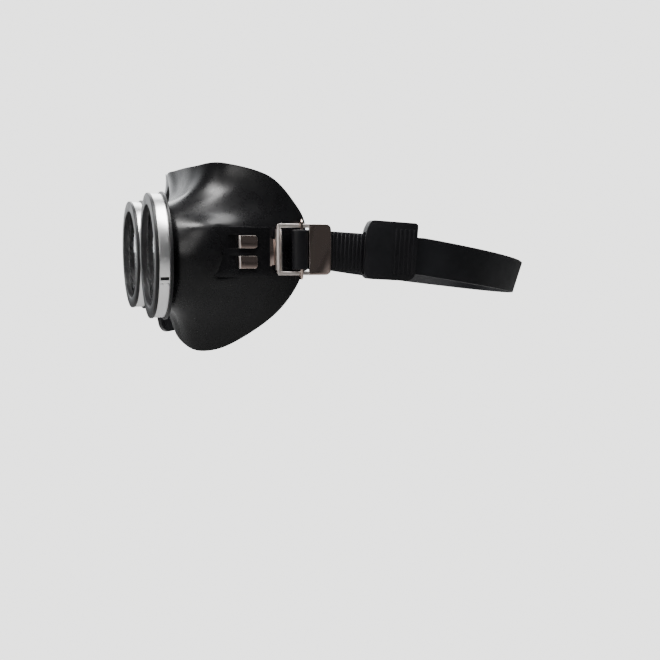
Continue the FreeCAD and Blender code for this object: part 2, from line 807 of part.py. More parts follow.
for word, side in SIDES:
    strap_clip(f"{word}_strap_clip", side)
    buckle(f"{word}_buckle", side)
    slide_bar(f"{word}_slide_bar", side)
    strap_fold(f"{word}_strap_fold", side)
    strap_lead(f"{word}_strap_lead", side)
    keeper(f"{word}_keeper", side)

# ---------------------------------------------------------------- head strap
ROUTE_STEPS = 9
LEAN_REACH = 0.7  # share of the way by which the strap has leaned fully


def strap_route():
    """Points on the left half of the strap's middle line, its upright and its run at each."""
    place = strap_frame(1)
    depth = number(LEAD_BOTTOM) + size("strap_wall") / 2
    ahead = place.Rotation.multVec(V(1, 0, 0))
    up = place.Rotation.multVec(V(0, 1, 0))
    begin = place.multVec(V(size("lead_length"), 0, depth))
    turn = place.multVec(V(number(f"keeper_start+keeper_length-({LEAD_X})"), 0, depth))
    level = V(ahead.x, ahead.y, 0).normalize()
    pull = turn + (level - V(0, 0, size("strap_fall"))) * size("side_pull")
    back = V(0, size("strap_back"), -size("strap_drop"))
    cross = back + V(size("back_pull"), 0, 0)
    rows = [(begin, up, ahead)]
    for k in range(ROUTE_STEPS + 1):
        t = k / ROUTE_STEPS
        point = (
            turn * (1 - t) ** 3
            + pull * (3 * t * (1 - t) ** 2)
            + cross * (3 * t * t * (1 - t))
            + back * t**3
        )
        run = (
            (pull - turn) * (1 - t) ** 2
            + (cross - pull) * (2 * t * (1 - t))
            + (back - cross) * t**2
        ).normalize()
        lean = math.radians(size("strap_lean")) * min(1.0, t / LEAN_REACH)
        side_out = V(run.y, -run.x, 0).normalize()
        upright = V(0, 0, 1) * math.cos(lean) + side_out * math.sin(lean)
        rows.append((point, (upright - run * upright.dot(run)).normalize(), run))
    return rows


def head_strap():
    """The strap lofted through rectangles along its route, and on round to the other side."""
    half_width, half_wall = size("strap_width") / 2, size("strap_wall") / 2
    left = []
    for point, upright, run in strap_route():
        out = run.cross(upright).normalize()
        left.append([
            point + upright * (a * half_width) + out * (b * half_wall)
            for a, b in ((-1, -1), (1, -1), (1, 1), (-1, 1))
        ])
    right = [[V(-corner.x, corner.y, corner.z) for corner in four] for four in reversed(left[:-1])]
    return Part.makeLoft([Part.makePolygon(four + four[:1]) for four in left + right], True, False)


strap = doc.addObject("Part::Feature", "head_strap")
strap.Label = "head_strap"
strap.Shape = head_strap()

# ---------------------------------------------------------------- check and write
doc.recompute()
for item in doc.Objects:
    if "Invalid" in item.State or "Error" in item.State:
        raise RuntimeError(f"{item.Name} failed: {item.State}")

nodes = [o for o in doc.Objects if o.TypeId == "PartDesign::Body" or o in (mask, strap)]
for node in nodes:
    if node.Shape.isNull() or not node.Shape.isValid():
        raise RuntimeError(f"{node.Label} has a bad shape")
    if len(node.Shape.Solids) != 1:
        raise RuntimeError(f"{node.Label} is {len(node.Shape.Solids)} solids")
for node in nodes:
    node.Shape.exportStep(f"parts/{node.Label}.step")
    box = node.Shape.BoundBox
    print(f"{node.Label:20s} {node.Shape.Volume:10.1f} mm3"
          f"  x {box.XMin:7.1f} {box.XMax:7.1f}  y {box.YMin:7.1f} {box.YMax:7.1f}"
          f"  z {box.ZMin:7.1f} {box.ZMax:7.1f}")
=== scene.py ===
"""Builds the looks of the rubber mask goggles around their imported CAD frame."""

import json
import math

import bmesh
import bpy
from bmesh.types import BMEdge, BMFace, BMVert
from bpy.props import FloatProperty, FloatVectorProperty, IntProperty, PointerProperty
from mathutils import Matrix, Vector


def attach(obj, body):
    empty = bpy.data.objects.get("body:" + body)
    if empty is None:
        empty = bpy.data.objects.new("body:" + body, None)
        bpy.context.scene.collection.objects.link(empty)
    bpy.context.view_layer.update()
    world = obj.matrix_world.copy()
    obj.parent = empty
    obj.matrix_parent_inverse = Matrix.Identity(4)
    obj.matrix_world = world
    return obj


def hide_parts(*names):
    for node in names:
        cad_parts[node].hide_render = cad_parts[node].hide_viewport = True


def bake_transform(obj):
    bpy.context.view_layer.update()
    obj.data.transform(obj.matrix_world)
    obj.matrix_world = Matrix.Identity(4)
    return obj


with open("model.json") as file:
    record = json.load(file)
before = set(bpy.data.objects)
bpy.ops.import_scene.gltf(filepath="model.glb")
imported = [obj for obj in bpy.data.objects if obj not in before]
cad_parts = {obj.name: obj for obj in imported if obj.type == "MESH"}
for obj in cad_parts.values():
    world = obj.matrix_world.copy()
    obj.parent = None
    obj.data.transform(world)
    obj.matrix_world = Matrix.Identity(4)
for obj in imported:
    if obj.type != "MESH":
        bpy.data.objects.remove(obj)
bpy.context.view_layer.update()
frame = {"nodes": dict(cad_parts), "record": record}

bl_info = {
    "name": "Rubber Mask Goggles",
    "version": (1, 0, 0),
    "blender": (4, 5, 0),
    "location": "View3D > Sidebar > Goggles",
    "description": "Builds rubber mask goggles piece by piece around their CAD frame",
    "category": "Add Mesh",
}

MM = 0.001
HAIR = 1e-7
RUBBED_AND_HIGHLIT = 1  # material index of the paler, rougher metal on a piece that has both: rubbed wear together with a painted highlight on edges, bends and rails
SIDES = (("left", 1), ("right", -1))
JOINTS = {joint["name"]: joint for joint in frame["record"]["behaviour"]["joints"]}


# ------------------------------------------------------------------ places read from the frame
def joint_vector(name, key):
    return Vector(JOINTS[name][key])


HINGE = joint_vector("left_buckle_hinge", "pos_m")
STRAP_AHEAD = joint_vector("left_slide_bar_travel", "axis").normalized()
STRAP_FALLING = joint_vector("left_keeper_travel", "axis").normalized()
OUTWARD = STRAP_AHEAD.cross(Vector((0, 0, 1))).normalized()


def axes(origin, ahead, out):
    """A matrix whose X runs back along the strap, Y up and Z outward, on the left side."""
    up = out.cross(ahead)
    return Matrix((
        (ahead.x, up.x, out.x, origin.x),
        (ahead.y, up.y, out.y, origin.y),
        (ahead.z, up.z, out.z, origin.z),
        (0, 0, 0, 1),
    ))


TEMPLE = axes(HINGE, STRAP_AHEAD, OUTWARD)


# ------------------------------------------------------------------ settings
def length(label, words, millimetres):
    return FloatProperty(
        name=label, description=words, default=millimetres * MM, unit="LENGTH", precision=5
    )


def shade(label, words, value):
    return FloatVectorProperty(
        name=label, description=words, default=value, subtype="COLOR", size=3, min=0, max=1
    )


class GogglesMaskSettings(bpy.types.PropertyGroup):
    skin: length("Skin", "Wall of the rubber skirt", 1.8)
    neck: length("Neck radius", "Outside of the cup behind its back flange", 25.2)
    rings: IntProperty(name="Rings", description="Rings from the neck to the edge", default=44)
    turns: IntProperty(name="Turns", description="Points round each ring", default=180)
    colour: shade("Colour", "Mask rubber", (0.004, 0.004, 0.0045))


class GogglesEyeSettings(bpy.types.PropertyGroup):
    lens_side: length("Lens side", "Lens axis from the middle plane", 35.0)
    lens_front: length("Lens front", "Front rims ahead of the origin", 14.0)
    toe: FloatProperty(name="Toe", description="Outward turn", default=math.radians(1), unit="ROTATION")
    rim: length("Rim radius", "Front flange", 30.2)
    rim_depth: length("Rim depth", "Front flange thickness", 1.5)
    opening: length("Opening", "Clear radius in front of the glass", 24.5)
    lip: length("Lip", "Front of the rim to the glass", 3.0)
    seat: length("Seat", "Radius under the metal band", 29.2)
    band_width: length("Band width", "Metal band along the lens axis", 5.0)
    band_wall: length("Band wall", "Metal band thickness", 0.6)
    flange: length("Back flange", "Back flange radius", 31.0)
    flange_depth: length("Flange depth", "Back flange thickness", 1.3)
    glass_depth: length("Glass depth", "Lens thickness", 2.5)
    metal: shade("Band colour", "Bright band metal", (0.93, 0.93, 0.93))


class GogglesHardwareSettings(bpy.types.PropertyGroup):
    pin: length("Pin radius", "Front bar of the buckle", 1.0)
    knuckle: length("Knuckle radius", "Rolled end of the clip", 1.63)
    knuckle_length: length("Knuckle length", "Rolled end of the clip", 19.3)
    sheet: length("Sheet", "Clip thickness", 0.8)
    drop: length("Drop", "Clip centre under the hinge", 1.1)
    tang_front: length("Tang front", "Fold of each tang ahead of the hinge", 18.9)
    tang_length: length("Tang length", "Tang on the lug", 8.7)
    tang_width: length("Tang width", "Tang", 5.8)
    tang_pitch: length("Tang pitch", "Between the two tangs", 9.3)
    face: length("Lug face", "Lug surface outward of the hinge", 0.55)
    window: length("Window", "Hinge axis to the rear plate", 14.6)
    frame_width: length("Frame width", "Buckle height", 24.0)
    frame_wall: length("Frame wall", "Buckle thickness", 1.6)
    rail: length("Rail", "Side rail width", 1.8)
    plate: length("Plate", "Rear plate length", 10.6)
    wire: length("Wire", "Slide bar radius", 0.7)
    wire_gap: length("Wire gap", "Slide bar ahead of the plate", 3.9)
    metal: shade("Nickel", "Nickel plate", (0.56, 0.44, 0.39))


class GogglesStrapSettings(bpy.types.PropertyGroup):
    width: length("Width", "Strap width", 18.6)
    wall: length("Wall", "Strap thickness", 1.45)
    gap: length("Gap", "Clearance under the plate", 0.3)
    lead: length("Lead", "Doubled stretch behind the buckle", 44.0)
    rib: length("Rib pitch", "Ribs across the free end", 2.0)
    keeper_start: length("Keeper start", "Behind the hinge", 42.4)
    keeper_length: length("Keeper length", "Rubber sleeve", 26.4)
    keeper_wall: length("Keeper wall", "Rubber sleeve", 1.5)
    keeper_top: length("Keeper top", "Rubber above the strap", 6.0)
    keeper_bottom: length("Keeper bottom", "Rubber below the strap", 2.4)
    keeper_fit: length("Keeper fit", "Play round the strap", 0.35)
    colour: shade("Colour", "Strap rubber", (0.004, 0.004, 0.0052))


class GogglesStageSettings(bpy.types.PropertyGroup):
    floor: length("Floor", "Height of the floor", -215.0)
    camera: FloatVectorProperty(
        name="Camera", description="Camera place", default=(0.39226, -0.06487, 0.00371),
        size=3, subtype="TRANSLATION", precision=5,
    )
    heading: FloatProperty(
        name="Heading", description="Turn from straight across", default=math.radians(22.27),
        unit="ROTATION",
    )
    pitch: FloatProperty(
        name="Pitch", description="Downward tilt", default=math.radians(6.47), unit="ROTATION"
    )
    focal: FloatProperty(name="Focal length", description="Millimetres on 36 mm", default=39.27)


# ------------------------------------------------------------------ shared shader groups
SURFACE = (
    ("Colour", "NodeSocketColor"), ("Roughness", "NodeSocketFloat"), ("Normal", "NodeSocketVector"),
)


def new_group(name, inputs, outputs):
    group = bpy.data.node_groups.new(name, "ShaderNodeTree")
    for label, kind, value in inputs:
        socket = group.interface.new_socket(label, in_out="INPUT", socket_type=kind)
        if value is not None:
            socket.default_value = value
    for label, kind in outputs:
        group.interface.new_socket(label, in_out="OUTPUT", socket_type=kind)
    return group, group.nodes.new("NodeGroupInput"), group.nodes.new("NodeGroupOutput")


def noise(tree, vector, scale, detail=3.0, roughness=0.55):
    node = tree.nodes.new("ShaderNodeTexNoise")
    node.inputs["Scale"].default_value = scale
    node.inputs["Detail"].default_value = detail
    node.inputs["Roughness"].default_value = roughness
    tree.links.new(vector, node.inputs["Vector"])
    return node.outputs["Fac"]


def spread(tree, value, low, high, to_low, to_high):
    node = tree.nodes.new("ShaderNodeMapRange")
    for key, number in (
        ("From Min", low), ("From Max", high), ("To Min", to_low), ("To Max", to_high)
    ):
        node.inputs[key].default_value = number
    tree.links.new(value, node.inputs["Value"])
    return node.outputs["Result"]


def mix_colour(tree, factor, a, b):
    node = tree.nodes.new("ShaderNodeMix")
    node.data_type = "RGBA"
    tree.links.new(factor, node.inputs["Factor"])
    for socket, value in ((node.inputs[6], a), (node.inputs[7], b)):
        if isinstance(value, bpy.types.NodeSocket):
            tree.links.new(value, socket)
        else:
            socket.default_value = (*value[:3], 1)
    return node.outputs[2]


def maths(tree, operation, *values):
    node = tree.nodes.new("ShaderNodeMath")
    node.operation = operation
    for value, socket in zip(values, node.inputs):
        if isinstance(value, bpy.types.NodeSocket):
            tree.links.new(value, socket)
        else:
            socket.default_value = value
    return node.outputs[0]


def grain(tree, strength, height, distance):
    node = tree.nodes.new("ShaderNodeBump")
    node.inputs["Distance"].default_value = distance
    tree.links.new(strength, node.inputs["Strength"])
    tree.links.new(height, node.inputs["Height"])
    return node.outputs["Normal"]


def rubber_skin_group():
    """Moulded rubber: faint bloom, handling marks, fine grain."""
    group, source, sink = new_group(
        "Rubber Skin",
        [("Vector", "NodeSocketVector", None), ("Colour", "NodeSocketColor", (0.02, 0.02, 0.02, 1)),
         ("Bloom Colour", "NodeSocketColor", (0.07, 0.07, 0.072, 1)),
         ("Bloom", "NodeSocketFloat", 0.5), ("Gloss", "NodeSocketFloat", 0.36),
         ("Grain", "NodeSocketFloat", 0.06)],
        SURFACE,
    )
    vector = source.outputs["Vector"]
    cloud = spread(group, noise(group, vector, 38, 4), 0.42, 0.74, 0, 1)
    smear = spread(group, noise(group, vector, 160, 5, 0.7), 0.45, 0.75, 0, 1)
    amount = maths(group, "MULTIPLY", cloud, source.outputs["Bloom"])
    colour = mix_colour(group, amount, source.outputs["Colour"], source.outputs["Bloom Colour"])
    rough = maths(group, "MULTIPLY_ADD", smear, 0.10, source.outputs["Gloss"])
    normal = grain(group, source.outputs["Grain"], noise(group, vector, 1500, 2), 0.0002)
    for value, socket in zip((colour, rough, normal), sink.inputs):
        group.links.new(value, socket)


def metal_wear_group():
    """Bright sheet metal: drawn lines, smudges, small colour shifts."""
    group, source, sink = new_group(
        "Metal Wear",
        [("Vector", "NodeSocketVector", None), ("Colour", "NodeSocketColor", (0.8, 0.8, 0.8, 1)),
         ("Tarnish", "NodeSocketColor", (0.5, 0.47, 0.44, 1)), ("Gloss", "NodeSocketFloat", 0.16),
         ("Lines", "NodeSocketFloat", 0.05)],
        SURFACE,
    )
    vector = source.outputs["Vector"]
    smudge = spread(group, noise(group, vector, 120, 4, 0.6), 0.45, 0.8, 0, 0.5)
    colour = mix_colour(group, smudge, source.outputs["Colour"], source.outputs["Tarnish"])
    rough = maths(group, "MULTIPLY_ADD", smudge, 0.22, source.outputs["Gloss"])
    normal = grain(group, source.outputs["Lines"], noise(group, vector, 900, 2), 0.00005)
    for value, socket in zip((colour, rough, normal), sink.inputs):
        group.links.new(value, socket)


def principled(name):
    material = bpy.data.materials.new(name)
    material.use_nodes = True
    tree = material.node_tree
    return tree, tree.nodes["Principled BSDF"]


def object_vector(tree):
    return tree.nodes.new("ShaderNodeTexCoord").outputs["Object"]


def use_group(tree, shader, group, values):
    node = tree.nodes.new("ShaderNodeGroup")
    node.node_tree = bpy.data.node_groups[group]
    tree.links.new(object_vector(tree), node.inputs["Vector"])
    for key, value in values.items():
        node.inputs[key].default_value = value
    tree.links.new(node.outputs["Colour"], shader.inputs["Base Color"])
    tree.links.new(node.outputs["Roughness"], shader.inputs["Roughness"])
    tree.links.new(node.outputs["Normal"], shader.inputs["Normal"])


def make_rubber(name, colour, bloom, gloss, grain, amount):
    tree, shader = principled(name)
    use_group(tree, shader, "Rubber Skin", {
        "Colour": (*colour, 1), "Bloom Colour": (*bloom, 1), "Bloom": amount,
        "Gloss": gloss, "Grain": grain,
    })
    shader.inputs["Specular IOR Level"].default_value = 0.26


def make_metal(name, colour, tarnish, gloss, lines):
    tree, shader = principled(name)
    use_group(tree, shader, "Metal Wear", {
        "Colour": (*colour, 1), "Tarnish": (*tarnish, 1), "Gloss": gloss, "Lines": lines,
    })
    shader.inputs["Metallic"].default_value = 1.0


def make_glass():
    tree, shader = principled("Clear Lens Glass")
    shader.inputs["Base Color"].default_value = (0.97, 0.985, 0.98, 1)
    shader.inputs["IOR"].default_value = 1.5
    shader.inputs["Transmission Weight"].default_value = 1.0
    smear = spread(tree, noise(tree, object_vector(tree), 90, 4, 0.6), 0.5, 0.8, 0.01, 0.07)
    tree.links.new(smear, shader.inputs["Roughness"])


def material(name):
    return bpy.data.materials[name]


# ------------------------------------------------------------------ mesh helpers
def box_between(bm, low, high):
    """A box given by two corners; returns its new vertices."""
    low, high = Vector(low), Vector(high)
    size = high - low
    made = bmesh.ops.create_cube(bm, size=1)["verts"]
    bmesh.ops.scale(bm, vec=size, verts=made)
    bmesh.ops.translate(bm, vec=(low + high) / 2, verts=made)
    return made


def soften(bm, edges, width, segments=3):
    return bmesh.ops.bevel(
        bm, geom=list(edges), offset=width, segments=segments, profile=0.5,
        affect="EDGES", clamp_overlap=True, material=-1,
    )


def sharp_edges(bm, degrees=50):
    return [
        e for e in bm.edges
        if len(e.link_faces) == 2 and e.calc_face_angle(0) > math.radians(degrees)
    ]


def upright_edges(bm, chosen=lambda middle: True):
    """Edges along local Z whose middle passes a test."""
    found = []
    for edge in bm.edges:
        a, b = (v.co for v in edge.verts)
        if abs((b - a).normalized().z) > 0.999 and chosen((a + b) / 2):
            found.append(edge)
    return found


def everything(bm):
    return list(bm.verts) + list(bm.edges) + list(bm.faces)


def cut(bm, point, normal):
    """Divides every face along a plane and keeps both sides."""
    bmesh.ops.bisect_plane(bm, geom=everything(bm), plane_co=point, plane_no=normal, dist=HAIR)


def only(made, kind):
    """The vertices, edges or faces among what an operator made."""
    return [item for item in made if isinstance(item, kind)]


def double(bm, gap):
    """Adds the mirror image and joins the halves along the middle plane."""
    bmesh.ops.mirror(
        bm, geom=everything(bm), matrix=Matrix.Identity(4), merge_dist=gap, axis="X"
    )


def plate(bm, outline, low, high):
    """A flat outline in XY raised from one height to another."""
    corners = [bm.verts.new((x, y, low)) for x, y in outline]
    face = bm.faces.new(corners)
    raised = bmesh.ops.extrude_face_region(bm, geom=[face])["geom"]
    bmesh.ops.translate(bm, vec=(0, 0, high - low), verts=only(raised, BMVert))
    bmesh.ops.recalc_face_normals(bm, faces=bm.faces)


def spun(bm, profile, steps):
    """A closed profile of (radius, depth) turned about the Y axis."""
    loop = [bm.verts.new((radius, depth, 0)) for radius, depth in profile]
    count = len(loop)
    edges = [bm.edges.new((loop[k], loop[(k + 1) % count])) for k in range(count)]
    bmesh.ops.spin(
        bm, geom=loop + edges, cent=(0, 0, 0), axis=(0, 1, 0), angle=math.tau,
        steps=steps, use_merge=True, use_duplicate=False,
    )
    bmesh.ops.recalc_face_normals(bm, faces=bm.faces)


def piece(name, bm, side, finish, body, node=None, rubbed_and_highlit_finish=None):
    """Writes a left-hand shape, or its mirror image, as an object on its body."""
    if side < 0:
        bmesh.ops.scale(bm, vec=(-1, 1, 1), verts=bm.verts)
        bmesh.ops.reverse_faces(bm, faces=bm.faces)
    mesh = bpy.data.meshes.new(name)
    bm.to_mesh(mesh)
    bm.free()
    mesh.shade_smooth()
    mesh.set_sharp_from_angle(angle=math.radians(38))
    mesh.materials.append(material(finish))
    # second material slot: paler nickel for rubbed wear and a painted highlight on edges
    if rubbed_and_highlit_finish:
        mesh.materials.append(material(rubbed_and_highlit_finish))
    item = bpy.data.objects.new(name, mesh)
    bpy.context.scene.collection.objects.link(item)
    if body:
        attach(item, body)
    if node:
        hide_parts(node)
    return item


def lens_matrix():
    eye = bpy.context.scene.goggles_eye
    return Matrix.Translation((eye.lens_side, -eye.lens_front, 0)) @ Matrix.Rotation(
        -eye.toe, 4, "Z"
    )


# ------------------------------------------------------------------ mask surface
# Free edge of the left half: degrees anticlockwise from the temple round the lens axis, then X,
# Y behind the front rims and Z in millimetres. Points past the middle plane are trimmed off.
EDGE = (
    (5, 66.3, 69.2, 3.5), (38, 66.2, 65.6, 23.8), (54, 62.8, 53.6, 37.4), (70, 54.0, 35.0, 43.6),
    (92, 34.0, 23.4, 43.7), (110, 13.0, 18.4, 43.4), (124, 2.0, 16.2, 42.6),
    (131, -4.0, 17.0, 40.2), (140, -4.0, 18.6, 34.0), (152, -4.0, 18.0, 23.0),
    (180, -4.0, 12.2, 2.0), (194, -4.0, 10.2, -6.5), (203, 2.0, 10.0, -9.6),
    (214, 8.5, 10.3, -14.0), (228, 15.5, 11.2, -23.0), (246, 22.5, 12.9, -33.5),
    (264, 32.0, 15.4, -42.0), (280, 44.0, 21.8, -46.2), (292, 51.5, 30.4, -44.7),
    (308, 59.0, 44.0, -36.8), (325, 64.0, 57.2, -25.8), (342, 66.0, 66.4, -12.6),
)
BRIDGE = (124, 203)
BROW = (50, 150)
BROW_TURN = 0.45
LUG = {"front": -30.6 * MM, "back": -4.2 * MM, "half": 11.5 * MM, "depth": 5.4 * MM}


def edge_point(degrees):
    turn = (degrees - EDGE[0][0]) % 360 + EDGE[0][0]
    index = max(k for k, row in enumerate(EDGE) if row[0] <= turn + 1e-9)
    front = bpy.context.scene.goggles_eye.lens_front

    def knot(k):
        row = EDGE[k % len(EDGE)]
        place = Vector((row[1] * MM, row[2] * MM - front, row[3] * MM))
        return row[0] + 360 * (k // len(EDGE)), place

    (a0, p0), (a1, p1), (a2, p2), (a3, p3) = (knot(index + k) for k in (-1, 0, 1, 2))
    slope1 = (p2 - p1) * ((a1 - a0) / (a2 - a1)) + (p1 - p0) * ((a2 - a1) / (a1 - a0))
    slope2 = (p3 - p2) * ((a2 - a1) / (a3 - a2)) + (p2 - p1) * ((a3 - a2) / (a2 - a1))
    step = a2 - a1
    slope1, slope2 = slope1 * (step / (a2 - a0)), slope2 * (step / (a3 - a1))
    t = (turn - a1) / step
    return (
        p1 * (2 * t**3 - 3 * t**2 + 1) + slope1 * (t**3 - 2 * t**2 + t)
        + p2 * (3 * t**2 - 2 * t**3) + slope2 * (t**3 - t**2)
    )


def mask_point(degrees, reach):
    """The skirt's outer surface: reach 0 is the neck behind the lens, 1 is the free edge."""
    scene = bpy.context.scene
    eye, mask = scene.goggles_eye, scene.goggles_mask
    turn = math.radians(degrees)
    temple = max(0.0, math.cos(turn))
    neck_back = eye.rim_depth + eye.band_width + eye.flange_depth - 0.8 * MM
    start = lens_matrix() @ Vector(
        (mask.neck * math.cos(turn), neck_back, mask.neck * math.sin(turn))
    )
    end = edge_point(degrees)
    flare = math.radians(8 + 32 * temple**1.3)
    away = Vector((
        math.cos(turn) * math.sin(flare), math.cos(flare), math.sin(turn) * math.sin(flare)
    ))
    gap = (end - start).length
    rise = start + away * (min(6 * MM, 0.3 * gap) + 0.16 * gap * temple)
    arrive = (end - rise).normalized()
    if BROW[0] < degrees % 360 < BROW[1]:
        brow = math.sin(math.pi * (degrees % 360 - BROW[0]) / (BROW[1] - BROW[0]))
        arrive = (arrive - Vector((0, BROW_TURN * brow**2, 0))).normalized()
    if BRIDGE[0] < degrees % 360 < BRIDGE[1]:
        bridge = math.sin(math.pi * (degrees % 360 - BRIDGE[0]) / (BRIDGE[1] - BRIDGE[0]))
        arrive = (arrive * (1 - bridge) + Vector((-1, 0, 0)) * bridge).normalized()
    settle = end - arrive * ((0.62 - 0.12 * temple) * (end - rise).length)
    t = reach
    point = (
        start * (1 - t) ** 3 + rise * (3 * t * (1 - t) ** 2)
        + settle * (3 * t * t * (1 - t)) + end * t**3
    )
    return meet_lug(point)


def ease(value, low, high):
    t = min(1.0, max(0.0, (value - low) / (high - low)))
    return t * t * (3 - 2 * t)


def meet_lug(point):
    """Swells the skirt over the front of the lug along an arc, and sinks it under the lug."""
    hardware = bpy.context.scene.goggles_hardware
    local = TEMPLE.inverted() @ point
    across = abs(local.y + hardware.drop)
    bow = LUG["front"] + 3.6 * MM * (1 - min(1.0, across / LUG["half"]) ** 2)
    crown = hardware.face + 0.9 * MM * max(0.0, 1 - (across / LUG["half"]) ** 2)
    near = math.exp(-(((local.x - bow) / (9 * MM)) ** 2)) * (1 - ease(across, 9 * MM, 18 * MM))
    if local.x < bow and crown > local.z:
        local.z += near * (crown - local.z)
    inside = ease(local.x, bow, bow + 1.8 * MM) * (1 - ease(across, 10.4 * MM, 13 * MM))
    sunk = hardware.face - 1.1 * MM
    if local.x >= bow and local.x < 0:
        level = local.z + near * max(0.0, crown - local.z)
        local.z = level + inside * min(0.0, sunk - level)
    return TEMPLE @ local


class GOGGLES_OT_skirt(bpy.types.Operator):
    """Builds the thin rubber skirt that closes on the face, both halves in one piece"""
    bl_idname = "goggles.skirt"
    bl_label = "Mask Skirt"

    def execute(self, context):
        mask = context.scene.goggles_mask
        bm = bmesh.new()
        angle = bm.verts.layers.float.new("angle")
        ring = bmesh.ops.create_circle(bm, segments=mask.turns, radius=mask.neck)["verts"]
        for k, vert in enumerate(ring):
            vert[angle] = 360 * k / mask.turns
            vert.co = mask_point(vert[angle], 0)
        edges = list(bm.edges)
        for step in range(1, mask.rings + 1):
            made = bmesh.ops.extrude_edge_only(bm, edges=edges)["geom"]
            edges = [e for e in only(made, BMEdge) if len(e.link_faces) == 1]
            for vert in only(made, BMVert):
                vert.co = mask_point(vert[angle], step / mask.rings)
        bmesh.ops.bisect_plane(
            bm, geom=everything(bm), plane_co=(0, 0, 0), plane_no=(1, 0, 0), clear_inner=True,
            dist=HAIR,
        )
        for vert in bm.verts:
            if abs(vert.co.x) < 0.02 * MM:
                vert.co.x = 0
        double(bm, 0.02 * MM)
        bmesh.ops.recalc_face_normals(bm, faces=bm.faces)
        probe = min(bm.faces, key=lambda f: -f.calc_center_median().x)
        if probe.normal.x < 0:
            bmesh.ops.reverse_faces(bm, faces=bm.faces)
        skirt = piece("mask_skirt", bm, 1, "Mask Rubber", "mask_body", "face_mask")
        wall = skirt.modifiers.new("wall", "SOLIDIFY")
        wall.thickness = mask.skin
        wall.offset = -1
        wall.use_even_offset = False
        lip = skirt.modifiers.new("lip", "BEVEL")
        lip.width, lip.segments = 0.45 * MM, 2
        lip.limit_method, lip.angle_limit = "ANGLE", math.radians(60)
        return {"FINISHED"}


class GOGGLES_OT_cups(bpy.types.Operator):
    """Builds the turned rubber cups that hold the glass, with a seat for each metal band"""
    bl_idname = "goggles.cups"
    bl_label = "Eye Cups"

    def execute(self, context):
        eye, mask = context.scene.goggles_eye, context.scene.goggles_mask
        bore = mask.neck - mask.skin
        seat_end = eye.rim_depth + eye.band_width
        back = seat_end + eye.flange_depth
        glass_back = eye.lip + eye.glass_depth
        groove = 27.5 * MM
        profile = (
            (eye.opening, 0), (eye.rim, 0), (eye.rim, eye.rim_depth), (eye.seat, eye.rim_depth),
            (eye.seat, seat_end), (eye.flange, seat_end), (eye.flange, back),
            (mask.neck + 0.4 * MM, back), (mask.neck, back + 1.2 * MM), (bore, back + 1.2 * MM),
            (bore, glass_back), (groove, glass_back), (groove, eye.lip), (eye.opening, eye.lip),
        )
        for word, side in SIDES:
            bm = bmesh.new()
            spun(bm, profile, 120)
            soften(bm, sharp_edges(bm, 35), 0.32 * MM, 3)
            bmesh.ops.transform(bm, matrix=lens_matrix(), verts=bm.verts)
            piece(f"{word}_eye_cup", bm, side, "Cup Rubber", "mask_body", "face_mask")
        return {"FINISHED"}


class GOGGLES_OT_lugs(bpy.types.Operator):
    """Builds the flat rubber lug at each temple, with a ramp and slit ahead of each tang"""
    bl_idname = "goggles.lugs"
    bl_label = "Temple Lugs"

    def execute(self, context):
        hardware = context.scene.goggles_hardware
        middle, face = -hardware.drop, hardware.face
        fold = -hardware.tang_front
        ramp = fold - 4.8 * MM
        slit = fold + 1.0 * MM
        rows = []
        for turn in (-1, 1):
            centre = middle + turn * hardware.tang_pitch / 2
            half = hardware.tang_width / 2 + 0.2 * MM
            rows.append((centre - half, centre + half))
        for word, side in SIDES:
            bm = bmesh.new()
            low = (LUG["front"], middle - LUG["half"], face - LUG["depth"])
            high = (LUG["back"], middle + LUG["half"], face)
            box_between(bm, low, high)
            soften(bm, upright_edges(bm, lambda at: at.x > fold), 1.0 * MM, 3)
            for x in (ramp, fold, slit):
                cut(bm, (x, 0, 0), (1, 0, 0))
            for y in (edge for row in rows for edge in row):
                cut(bm, (0, y, 0), (0, 1, 0))
            top = [f for f in bm.faces if f.normal.z > 0.9 and f.calc_center_median().z > face - 1e-5]
            for y0, y1 in rows:
                self.sink(bm, top, ramp, fold, y0, y1, 1.25 * MM, ramp)
                self.sink(bm, top, fold, slit, y0, y1, 1.3 * MM, None)
            rim = [
                e for e in sharp_edges(bm)
                if all(abs(v.co.z - face) < 1e-6 for v in e.verts)
            ]
            soften(bm, rim, 0.6 * MM, 3)
            bmesh.ops.transform(bm, matrix=TEMPLE, verts=bm.verts)
            piece(f"{word}_lug", bm, side, "Lug Rubber", "mask_body", "face_mask")
        return {"FINISHED"}

    def sink(self, bm, top, x0, x1, y0, y1, depth, hinge):
        """Pushes the top faces in a rectangle inward, keeping the edge at hinge where it is."""
        inside = []
        for face in top:
            if face.is_valid:
                middle = face.calc_center_median()
                if x0 < middle.x < x1 and y0 < middle.y < y1:
                    inside.append(face)
        made = bmesh.ops.extrude_face_region(bm, geom=inside)["geom"]
        bmesh.ops.delete(bm, geom=[f for f in inside if f.is_valid], context="FACES_ONLY")
        for vert in only(made, BMVert):
            if hinge is None or abs(vert.co.x - hinge) > 1e-6:
                vert.co.z -= depth
            else:
                vert.co.z -= 0.05 * MM


# ------------------------------------------------------------------ lenses and bands
class GOGGLES_OT_lenses(bpy.types.Operator):
    """Gives the two flat glass lenses their finish"""
    bl_idname = "goggles.lenses"
    bl_label = "Lenses"

    def execute(self, context):
        for name in ("left_lens", "right_lens"):
            node = frame["nodes"][name]
            for slot in node.material_slots:
                slot.material = material("Clear Lens Glass")
        return {"FINISHED"}


